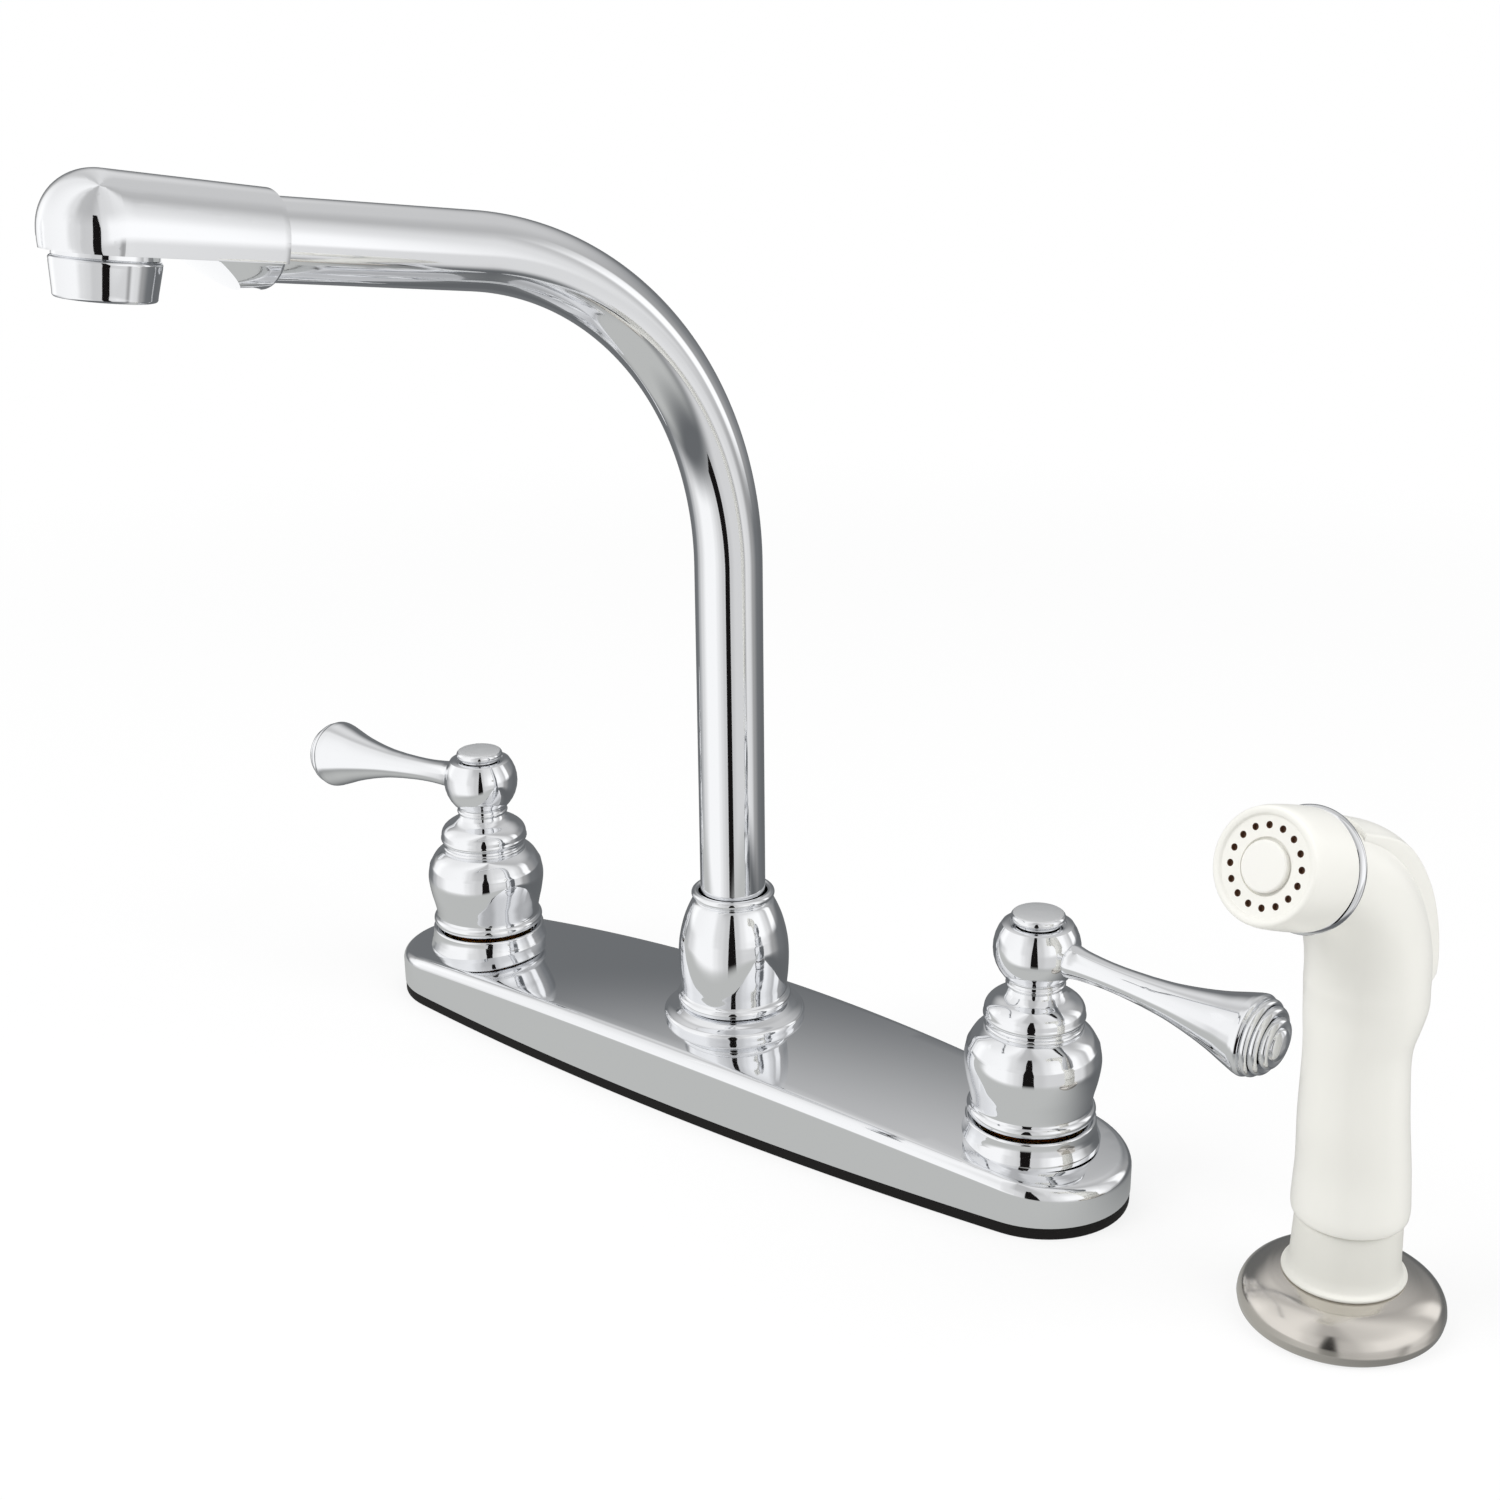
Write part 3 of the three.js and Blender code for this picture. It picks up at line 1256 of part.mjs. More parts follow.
function sideSpray() {
  const head = group(
    mesh("spray_trim_ring", trimRing(), CHROME),
    mesh("spray_nozzle", sprayNozzle(), WHITE_PLASTIC),
    mesh("spray_nozzle_core", nozzleCore(), WHITE_PLASTIC),
  );
  const { forward, height } = trimPlace();
  head.position.set(0, -forward, height);
  head.rotation.x = BEND_ANGLE * DEGREE;
  const handset = group(
    mesh("spray_body", sprayBody(), WHITE_PLASTIC),
    mesh("spray_trigger", sprayTrigger(), WHITE_PLASTIC),
    mesh("trigger_pin", crossPin(0), STEEL),
    mesh("spray_plunger", valvePlunger(), BRASS),
    mesh("spray_spring", returnSpring(), STEEL),
    head,
  );
  handset.rotation.z = -SPRAY_TURN * DEGREE;
  const made = group(
    mesh("spray_flange", sprayFlange(), SATIN_CHROME),
    mesh("spray_guide", sprayGuide(), WHITE_PLASTIC),
    mesh("spray_guide_nut", sprayGuideNut(), GREY_PLASTIC),
    mesh("spray_coupling", hoseCoupling(), BRASS),
    handset,
  );
  made.position.set(HANDLE_REACH + LEVER_LENGTH + SPRAY_GAP, SPRAY_Y, 0);
  return made;
}

export default group(
  mesh("base_gasket", baseGasket(), RUBBER),
  mesh("deck_plate", deckPlate(), CHROME),
  mesh("spout_post", spoutPost(), BRASS),
  mesh("hot_crossover", crossover(-1), BRASS),
  mesh("cold_crossover", crossover(1), BRASS),
  mesh("diverter_body", diverterBody(), GREY_PLASTIC),
  mesh("diverter_piston", diverterPiston(), GREY_PLASTIC),
  mesh("lower_o_ring", oRing(O_RING_HEIGHTS[0]), RUBBER),
  mesh("upper_o_ring", oRing(O_RING_HEIGHTS[1]), RUBBER),
  mesh("spout_flange", spoutFlange(), CHROME),
  mesh("spout_bonnet", spoutBonnet(), CHROME),
  spout(),
  valveSide("hot", -1),
  valveSide("cold", 1),
  sideSpray(),
);
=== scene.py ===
"""Looks of a two-handle kitchen faucet on a deck plate with a swivel spout and a side spray.

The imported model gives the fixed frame. The faucet's sizes are millimetres in the same
frame: +Z up, front -Y, origin on the sink deck under the spout's axis.
"""

from __future__ import annotations

import json
import logging
from collections.abc import Iterable, Sequence
from dataclasses import dataclass, field
from enum import Enum
from math import acos, asin, atan2, cos, degrees, hypot, pi, radians, sin, sqrt
from typing import Any

import bmesh
import bpy
from bmesh.types import BMEdge, BMesh, BMVert
from bpy.types import Material, Node, NodeSocket, NodeTree, Object
from mathutils import Matrix, Vector

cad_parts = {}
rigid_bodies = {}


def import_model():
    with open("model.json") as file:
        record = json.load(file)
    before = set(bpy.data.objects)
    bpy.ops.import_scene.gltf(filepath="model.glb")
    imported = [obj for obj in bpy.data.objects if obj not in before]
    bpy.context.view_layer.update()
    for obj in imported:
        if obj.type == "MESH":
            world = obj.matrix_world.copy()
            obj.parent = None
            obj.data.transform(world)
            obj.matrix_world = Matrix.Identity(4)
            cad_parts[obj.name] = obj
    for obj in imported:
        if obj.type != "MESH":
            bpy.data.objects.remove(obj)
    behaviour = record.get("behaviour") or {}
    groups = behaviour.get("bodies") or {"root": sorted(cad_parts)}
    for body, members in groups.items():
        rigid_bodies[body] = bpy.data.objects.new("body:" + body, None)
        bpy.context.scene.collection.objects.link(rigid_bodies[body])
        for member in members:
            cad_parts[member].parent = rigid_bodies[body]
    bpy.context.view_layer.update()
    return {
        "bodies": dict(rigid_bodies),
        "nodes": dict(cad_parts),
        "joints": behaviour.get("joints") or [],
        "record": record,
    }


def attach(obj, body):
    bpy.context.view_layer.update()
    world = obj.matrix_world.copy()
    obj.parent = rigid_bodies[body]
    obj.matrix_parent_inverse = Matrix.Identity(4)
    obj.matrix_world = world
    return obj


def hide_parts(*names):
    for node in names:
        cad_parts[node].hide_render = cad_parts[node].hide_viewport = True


LOG = logging.getLogger("faucet")
METRE = 0.001
MERGE_MM = 1e-4
RELIEF_METRES = 0.0001
SENSOR_MM = 36
WHITE = "#FFFFFF"
Point = tuple[float, float]
Triple = tuple[float, float, float]
Stops = tuple[tuple[float, str], ...]


class Body(Enum):
    """The bodies that pieces ride on, apart from the two handle sets."""

    BASE = "base"
    SPOUT = "spout"
    HANDSET = "handset"
    TRIGGER = "thumb_trigger"


class Side(Enum):
    """The two handle sides, by the sign of X."""

    HOT = -1
    COLD = 1

    @property
    def word(self) -> str:
        """Start of the side's node names."""
        return self.name.lower()

    @property
    def body(self) -> str:
        """Body that the side's handle turns as."""
        return self.word + "_handle_set"


# ---- Finishes ---------------------------------------------------------------------------


def linear(code: str) -> tuple[float, float, float, float]:
    """Turns an sRGB hex colour to linear light.

    Args:
        code: Six hex digits after a hash.

    Returns:
        Red, green, blue and an alpha of 1.
    """
    parts = [int(code[i : i + 2], 16) / 255 for i in (1, 3, 5)]
    light = [p / 12.92 if p <= 0.04045 else ((p + 0.055) / 1.055) ** 2.4 for p in parts]
    return (light[0], light[1], light[2], 1.0)


def add_node(
    tree: NodeTree, kind: str, inputs: dict[Any, Any] | None = None, **settings: Any
) -> Node:
    """Adds a shader node with its settings, socket values and incoming links.

    Args:
        tree: Node tree that gets the node.
        kind: The node's type name, without the word ShaderNode.
        inputs: Values by socket name or place; an output socket there is linked.
        **settings: Attributes of the node.

    Returns:
        The new node.
    """
    node = tree.nodes.new("ShaderNode" + kind)
    for name, value in settings.items():
        setattr(node, name, value)
    for key, value in (inputs or {}).items():
        if isinstance(value, NodeSocket):
            tree.links.new(value, node.inputs[key])
        else:
            node.inputs[key].default_value = value
    return node


def maths(tree: NodeTree, operation: str, *values: Any) -> NodeSocket:
    """Adds a maths node on one or two values and gives its result."""
    return add_node(tree, "Math", dict(enumerate(values)), operation=operation).outputs[0]


def remap(
    tree: NodeTree,
    value: NodeSocket,
    span: Point,
    onto: Point = (0.0, 1.0),
    curve: str = "SMOOTHSTEP",
) -> NodeSocket:
    """Maps a value from one range to another.

    Args:
        tree: Node tree that gets the node.
        value: What is mapped.
        span: Ends of its range.
        onto: What the two ends become.
        curve: SMOOTHSTEP or LINEAR.

    Returns:
        The mapped value.
    """
    inputs = {"Value": value, "From Min": span[0], "From Max": span[1]}
    inputs |= {"To Min": onto[0], "To Max": onto[1]}
    return add_node(tree, "MapRange", inputs, interpolation_type=curve).outputs[0]


def mix_tints(tree: NodeTree, share: NodeSocket, first: Any, second: Any) -> NodeSocket:
    """Adds a mix of two colours and gives its result."""
    return add_node(tree, "Mix", {0: share, 6: first, 7: second}, data_type="RGBA").outputs[2]


@dataclass(frozen=True)
class Finish:
    """A surface with one colour, and a fine relief where its making leaves one."""

    name: str
    slot: str
    color: str
    roughness: float
    metallic: float = 0.0
    ior: float | None = None
    relief: float = 0.0
    grain_mm: float = 1.0

    def build(self) -> Material:
        """Makes the material, or gives the one already made under its name.

        Returns:
            The material.
        """
        ready = bpy.data.materials.get(self.name)
        if ready:
            return ready
        material = bpy.data.materials.new(self.name)
        material.use_nodes = True
        tree = material.node_tree
        shader = tree.nodes["Principled BSDF"]
        shader.inputs["Base Color"].default_value = linear(self.color)
        shader.inputs["Roughness"].default_value = self.roughness
        shader.inputs["Metallic"].default_value = self.metallic
        if self.ior:
            shader.inputs["IOR"].default_value = self.ior
        if self.relief:
            place = add_node(tree, "TexCoord").outputs["Object"]
            scale = 1 / (self.grain_mm * METRE)
            grain = add_node(tree, "TexNoise", {"Vector": place, "Scale": scale, "Detail": 2.0})
            inputs = {"Height": grain.outputs["Fac"], "Strength": self.relief}
            bump = add_node(tree, "Bump", inputs | {"Distance": RELIEF_METRES})
            tree.links.new(bump.outputs["Normal"], shader.inputs["Normal"])
        return material


# Bright nickel-chrome plating on buffed brass: a clear mirror with a faint cool tone.
PLATED_CHROME = Finish("polished chrome plating", "chrome", "#EDEEF0", 0.045, 1.0)
# The same plating on a less polished disc: the room shows only as soft patches.
SATIN_PLATING = Finish("satin chrome plating", "satin_chrome", "#D8D3CC", 0.17, 1.0)
# Buttons are plated after a fine blast, so their tops look a little milky.
BUTTON_PLATING = Finish("soft chrome plating", "chrome", "#F4F5F6", 0.5, 1.0)
# Warm white ABS from a fine-textured mould: a broad soft sheen.
WHITE_ABS = Finish("moulded white ABS", "white_plastic", "#F8F7F1", 0.34, 0.0, 1.53, 0.08, 0.6)
# The same plastic on the deck guide, made a little greyer to paint the shade that falls on it.
SHADED_GUIDE_ABS = Finish("greyed white ABS", "white_plastic", "#E9E8E1", 0.4, 0.0, 1.53, 0.08, 0.6)
# Glossier white of the raised disc in the middle of the spray's face.
FACE_ABS = Finish("glossy white ABS", "white_plastic", "#F8F7F2", 0.26, 0.0, 1.53)
# Painted shade on the walls and floors of the shallow spray holes, standing in for the dark passage
# behind them.
PAINTED_HOLE_SHADE = Finish("wet dark bore", "white_plastic", "#7A5A45", 0.5, 0.0, 1.45)
# Near-black soft gasket under the plate, faintly brown, with no gloss.
GASKET_RUBBER = Finish("moulded black rubber", "rubber", "#0A0706", 0.72, 0.0, 1.4)
TURNED_BRASS = Finish("turned brass", "brass", "#C9A255", 0.3, 1.0)
ZINC_STEEL = Finish("zinc-plated steel", "steel", "#B9BDC1", 0.35, 1.0)
SEAL_RUBBER = Finish("seal rubber", "rubber", "#171717", 0.6, 0.0, 1.5)
DISC_CERAMIC = Finish("ground alumina ceramic", "ceramic", "#F1EEE6", 0.25, 0.0, 1.7)
GREY_ACETAL = Finish("moulded grey acetal", "grey_plastic", "#8F9499", 0.45, 0.0, 1.48)


# ---- Shape tools ------------------------------------------------------------------------


@dataclass
class Profile:
    """Radius and height pairs, from one end of a turned piece to the other."""

    points: list[Point] = field(default_factory=list)

    def at(self, *points: Point) -> Profile:
        """Adds corners."""
        self.points.extend(points)
        return self

    def arc(
        self, r: float, z: float, radius: float, start: float, end: float, steps: int = 0
    ) -> Profile:
        """Adds an arc.

        Args:
            r: Radius of its middle from the axis.
            z: Height of its middle.
            radius: The arc's own radius.
            start: First angle from outward, in degrees, towards up.
            end: Last angle.
            steps: Pieces along it; 0 gives one for each 9 degrees.

        Returns:
            The profile.
        """
        steps = steps or max(4, round(abs(end - start) / 9))
        for i in range(steps + 1):
            angle = radians(start + (end - start) * i / steps)
            self.points.append((r + radius * cos(angle), z + radius * sin(angle)))
        return self

    def through(self, *points: Point, steps: int = 7) -> Profile:
        """Adds a smooth run from the last point through the given ones.

        Args:
            *points: Places on the curve.
            steps: Pieces between two places.

        Returns:
            The profile.
        """
        self.points.extend(smooth_run([self.points[-1], *points], steps)[1:])
        return self


def between(p: float, q: float, r: float, s: float, t: float) -> float:
    """Value of a Catmull-Rom curve a share of the way between its two middle places."""
    bend, twist = (2 * p - 5 * q + 4 * r - s) * t**2, (3 * q - p - 3 * r + s) * t**3
    return 0.5 * (2 * q + (r - p) * t + bend + twist)


def smooth_run(known: Sequence[Sequence[float]], steps: int) -> list[tuple[float, ...]]:
    """Fills in a Catmull-Rom curve.

    Args:
        known: Places on the curve, of any one dimension.
        steps: Pieces between two places.

    Returns:
        The places with the filled-in ones between them.
    """
    first = [2 * a - b for a, b in zip(known[0], known[1], strict=True)]
    last = [2 * a - b for a, b in zip(known[-1], known[-2], strict=True)]
    run = [first, *known, last]
    filled: list[tuple[float, ...]] = []
    for i in range(1, len(run) - 2):
        corners = list(zip(*run[i - 1 : i + 3], strict=True))
        for k in range(steps):
            filled.append(tuple(between(*values, k / steps) for values in corners))
    filled.append(tuple(known[-1]))
    return filled


def only(kind: type, items: Iterable[Any]) -> list[Any]:
    """Keeps the mesh elements of one kind."""
    return [item for item in items if isinstance(item, kind)]


def tidy(bm: BMesh) -> BMesh:
    """Merges doubled vertices and turns the faces outwards.

    Args:
        bm: Mesh that is changed.

    Returns:
        The same mesh.
    """
    bmesh.ops.remove_doubles(bm, verts=bm.verts, dist=MERGE_MM)
    bmesh.ops.recalc_face_normals(bm, faces=bm.faces)
    return bm


def spin(
    bm: BMesh, geom: list[Any], middle: Triple, axis: Triple, angle: float, steps: int, merge: bool
) -> list[Any]:
    """Sweeps a line round an axis.

    Args:
        bm: Mesh that holds the line.
        geom: The line's edges, and its vertices where they are needed.
        middle: A place on the axis.
        axis: The axis's direction.
        angle: How far it sweeps, in radians.
        steps: Facets along the sweep.
        merge: Whether the end is joined to the start.

    Returns:
        What the sweep ended with.
    """
    return bmesh.ops.spin(
        bm, geom=geom, cent=middle, axis=axis, dvec=(0, 0, 0), angle=angle, steps=steps,
        use_merge=merge, use_duplicate=False,
    )["geom_last"]


def turn(profile: Profile, steps: int = 128, closed: bool = False) -> BMesh:
    """Spins a profile about Z.

    Args:
        profile: Outline from end to end.
        steps: Facets around.
        closed: Whether the last point joins the first.

    Returns:
        The spun mesh, facing outwards.
    """
    bm = bmesh.new()
    verts = [bm.verts.new((r, 0, z)) for r, z in profile.points]
    edges = [bm.edges.new(pair) for pair in zip(verts, verts[1:])]
    if closed:
        edges.append(bm.edges.new((verts[-1], verts[0])))
    spin(bm, [*verts, *edges], (0, 0, 0), (0, 0, 1), 2 * pi, steps, merge=True)
    return tidy(bm)


def rod(radius: float, low: float, high: float, sides: int = 64) -> BMesh:
    """Makes a plain upright cylinder.

    Args:
        radius: Its radius.
        low: Height of its foot.
        high: Height of its top.
        sides: Facets around.

    Returns:
        The cylinder.
    """
    bm = bmesh.new()
    bmesh.ops.create_cone(
        bm, cap_ends=True, segments=sides, radius1=radius, radius2=radius, depth=high - low
    )
    bmesh.ops.translate(bm, verts=bm.verts, vec=(0, 0, (low + high) / 2))
    return bm


def square(half: float) -> BMesh:
    """Makes a flat square.

    Args:
        half: Half its width.

    Returns:
        The square.
    """
    bm = bmesh.new()
    bmesh.ops.create_grid(bm, x_segments=1, y_segments=1, size=half)
    return bm


def moved(bm: BMesh, matrix: Matrix) -> BMesh:
    """Moves a whole mesh by a matrix."""
    bmesh.ops.transform(bm, matrix=matrix, verts=bm.verts)
    return bm


def ring_of(
    count: int, ring: float, first: float, radius: float, span: Point, sides: int
) -> list[BMesh]:
    """Makes a ring of upright rods, which holes are cut with.

    Args:
        count: How many there are.
        ring: Radius of the ring.
        first: Place of the first one, as a share of the gap between two.
        radius: Radius of each rod.
        span: Its lowest and highest point.
        sides: Its facets.

    Returns:
        The rods.
    """
    angles = [2 * pi * (i + first) / count for i in range(count)]
    shifts = [Matrix.Translation((ring * cos(a), ring * sin(a), 0)) for a in angles]
    return [moved(rod(radius, *span, sides), shift) for shift in shifts]


def extrude(bm: BMesh, ring: list[Any]) -> tuple[list[Any], list[Any]]:
    """Extrudes a ring of edges.

    Args:
        bm: Mesh that holds the ring.
        ring: The ring's edges.

    Returns:
        The new vertices and the new ring's edges.
    """
    made = bmesh.ops.extrude_edge_only(bm, edges=ring)["geom"]
    new = only(BMVert, made)
    fresh = set(new)
    return new, [edge for edge in only(BMEdge, made) if set(edge.verts) <= fresh]


def sweep(rings: Sequence[Sequence[Vector]]) -> BMesh:
    """Joins a run of rings of one count into a solid with flat ends.

    Args:
        rings: Places of each ring's vertices.

    Returns:
        The solid, facing outwards.
    """
    bm = bmesh.new()
    ring = [bm.verts.new(p) for p in rings[0]]
    edges = [bm.edges.new((ring[i], ring[(i + 1) % len(ring)])) for i in range(len(ring))]
    bmesh.ops.contextual_create(bm, geom=edges)
    for places in rings[1:]:
        new, edges = extrude(bm, edges)
        for vert, place in zip(new, places, strict=True):
            vert.co = place
    bmesh.ops.contextual_create(bm, geom=edges)
    return tidy(bm)


def carve(bm: BMesh, tools: Iterable[BMesh]) -> BMesh:
    """Cuts other solids out of a solid, one after the other.

    Args:
        bm: The solid that is cut.
        tools: What is cut out of it.

    Returns:
        The cut solid.
    """
    for tool in tools:
        pair = []
        for source in (bm, tool):
            mesh = bpy.data.meshes.new("carving")
            source.to_mesh(mesh)
            source.free()
            pair.append(bpy.data.objects.new("carving", mesh))
            bpy.context.scene.collection.objects.link(pair[-1])
        cut = pair[0].modifiers.new("cut", "BOOLEAN")
        cut.operation = "DIFFERENCE"
        cut.solver = "EXACT"
        cut.object = pair[1]
        graph = bpy.context.evaluated_depsgraph_get()
        bm = bmesh.new()
        bm.from_mesh(pair[0].evaluated_get(graph).data)
        for item in pair:
            mesh = item.data
            bpy.data.objects.remove(item)
            bpy.data.meshes.remove(mesh)
    bmesh.ops.remove_doubles(bm, verts=bm.verts, dist=MERGE_MM)
    return bm


def bevel(
    bm: BMesh, edges: list[BMEdge], width: float, segments: int = 3, clamp: bool = True
) -> None:
    """Rounds some edges.

    Args:
        bm: Mesh that is changed.
        edges: The edges.
        width: Width of the rounding.
        segments: Faces across it.
        clamp: Whether it stops short of its neighbours.
    """
    bmesh.ops.bevel(
        bm, geom=edges, offset=width, affect="EDGES", segments=segments, profile=0.5,
        material=-1, clamp_overlap=clamp,
    )


def soften(bm: BMesh, width: float, angle: float) -> None:
    """Rounds the edges that are sharper than an angle, in degrees."""
    limit = radians(angle)
    bevel(bm, [e for e in bm.edges if e.is_manifold and e.calc_face_angle(0) > limit], width)


def bisect(bm: BMesh, place: Any, normal: Any, clear: bool = False) -> list[Any]:
    """Cuts a mesh's faces along a plane.

    Args:
        bm: Mesh that is cut.
        place: A place on the plane.
        normal: The plane's normal.
        clear: Whether what lies outside the plane is cleared.

    Returns:
        The elements along the cut.
    """
    geom = [*bm.verts, *bm.edges, *bm.faces]
    return bmesh.ops.bisect_plane(
        bm, geom=geom, plane_co=place, plane_no=normal, clear_outer=clear
    )["geom_cut"]


@dataclass
class Piece:
    """One finished piece: its mesh, finish, body and the node it stands for."""

    name: str
    bm: BMesh
    finish: Finish
    body: str
    node: str | None = None
    crease: float = 35
    more: tuple[Finish, ...] = ()

    def place(self, matrix: Matrix = Matrix.Identity(4)) -> None:
        """Makes the object, riding on its body, with its place in its mesh.

        Args:
            matrix: From the piece's own frame to the faucet's, in millimetres.
        """
        moved(self.bm, Matrix.Scale(METRE, 4) @ matrix)
        mesh = bpy.data.meshes.new(self.name)
        for finish in (self.finish, *self.more):
            mesh.materials.append(finish.build())
        self.bm.to_mesh(mesh)
        self.bm.free()
        mesh.shade_smooth()
        mesh.set_sharp_from_angle(angle=radians(self.crease))
        piece = bpy.data.objects.new(self.name, mesh)
        bpy.context.scene.collection.objects.link(piece)
        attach(piece, self.body)
        if self.node:
            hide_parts(self.node)
        LOG.info("%s: %d faces", self.name, len(mesh.polygons))


# ---- Deck plate -------------------------------------------------------------------------


@dataclass
class DeckPlate:
    """The boat-shaped plate with an arched top, and the gasket under it."""

    length: float = 259.6
    width: float = 59.2
    end_radius: float = 24.0
    shift: float = -1.0
    top: float = 21.4
    drop: float = 4.9
    reach: float = 101.6
    edge: float = 3.4
    crown: float = 0.8
    gasket: float = 3.4
    gasket_inset: float = 0.15
    gasket_edge: float = 0.5
    over_gasket: float = 0.1
    end_steps: int = 36
    side_steps: int = 44
    grid: int = 4
    grid_x: int = 124
    grid_y: int = 28

    def height(self, x: float, y: float = 0.0) -> float:
        """Height of the arched top, with its slight crown across the plate.

        Args:
            x: Place along the plate.
            y: Place across it, from its middle.

        Returns:
            The height.
        """
        radius = (self.reach**2 + self.drop**2) / (2 * self.drop)
        arch = self.top - radius + sqrt(radius**2 - x**2)
        return arch - self.crown * (2 * y / self.width) ** 2

    def outline(self, inset: float) -> list[Vector]:
        """Outline in plan: two end arcs joined by two long side arcs.

        Args:
            inset: How far inside the plate's own edge.

        Returns:
            Places round the outline.
        """
        along = self.length / 2 - self.end_radius
        end = self.end_radius - inset
        half = self.width / 2 - inset
        side = (along**2 + half**2 - end**2) / (2 * (half - end))
        meet = atan2(side - half, along)
        spans = [
            (along, 0.0, end, -meet, meet, self.end_steps),
            (0.0, half - side, side, meet, pi - meet, self.side_steps),
            (-along, 0.0, end, pi - meet, pi + meet, self.end_steps),
            (0.0, side - half, side, pi + meet, 2 * pi - meet, self.side_steps),
        ]
        places = []
        for x, y, radius, start, stop, steps in spans:
            for i in range(steps):
                angle = start + (stop - start) * i / steps
                across = y + radius * sin(angle) + self.shift
                places.append(Vector((x + radius * cos(angle), across, 0)))
        return places

    def slab(self, inset: float, low: float, high: float) -> BMesh:
        """Extrudes the outline from one height up to another.

        Args:
            inset: How far inside the plate's own edge.
            low: Height of its foot.
            high: Height of its top.

        Returns:
            The slab.
        """
        bm = bmesh.new()
        lift = Vector((0, 0, low))
        face = bm.faces.new([bm.verts.new(p + lift) for p in self.outline(inset)])
        made = bmesh.ops.extrude_face_region(bm, geom=[face])["geom"]
        bmesh.ops.translate(bm, verts=only(BMVert, made), vec=(0, 0, high - low))
        return bm

    def plate(self) -> BMesh:
        """Rounds the slab's top edge, cuts it into a grid and arches its top.

        Returns:
            The plate's mesh.
        """
        low = self.gasket + self.over_gasket
        bm = self.slab(0, low, self.top)
        rim = [e for e in bm.edges if all(v.co.z > self.top - 0.1 for v in e.verts)]
        bevel(bm, rim, self.edge, 12, clamp=False)
        for x in range(-self.grid_x, self.grid_x + 1, self.grid):
            bisect(bm, (x, 0, 0), (1, 0, 0))
        for y in range(-self.grid_y, self.grid_y + 1, self.grid):
            bisect(bm, (0, y, 0), (0, 1, 0))
        for vert in bm.verts:
            if vert.co.z > low + 1:
                vert.co.z += self.height(vert.co.x, vert.co.y - self.shift) - self.top
        return tidy(bm)

    def pad(self) -> BMesh:
        """The gasket: the same outline, a little inside the plate's edge.

        Returns:
            The gasket's mesh.
        """
        bm = self.slab(self.gasket_inset, 0, self.gasket)
        soften(bm, self.gasket_edge, 60)
        return tidy(bm)

    def build(self) -> None:
        """Places the plate and its gasket."""
        body = Body.BASE.value
        Piece("deck_plate_casting", self.plate(), PLATED_CHROME, body, "deck_plate").place()
        Piece("deck_gasket", self.pad(), GASKET_RUBBER, body, "base_gasket").place()


# ---- Handles ----------------------------------------------------------------------------


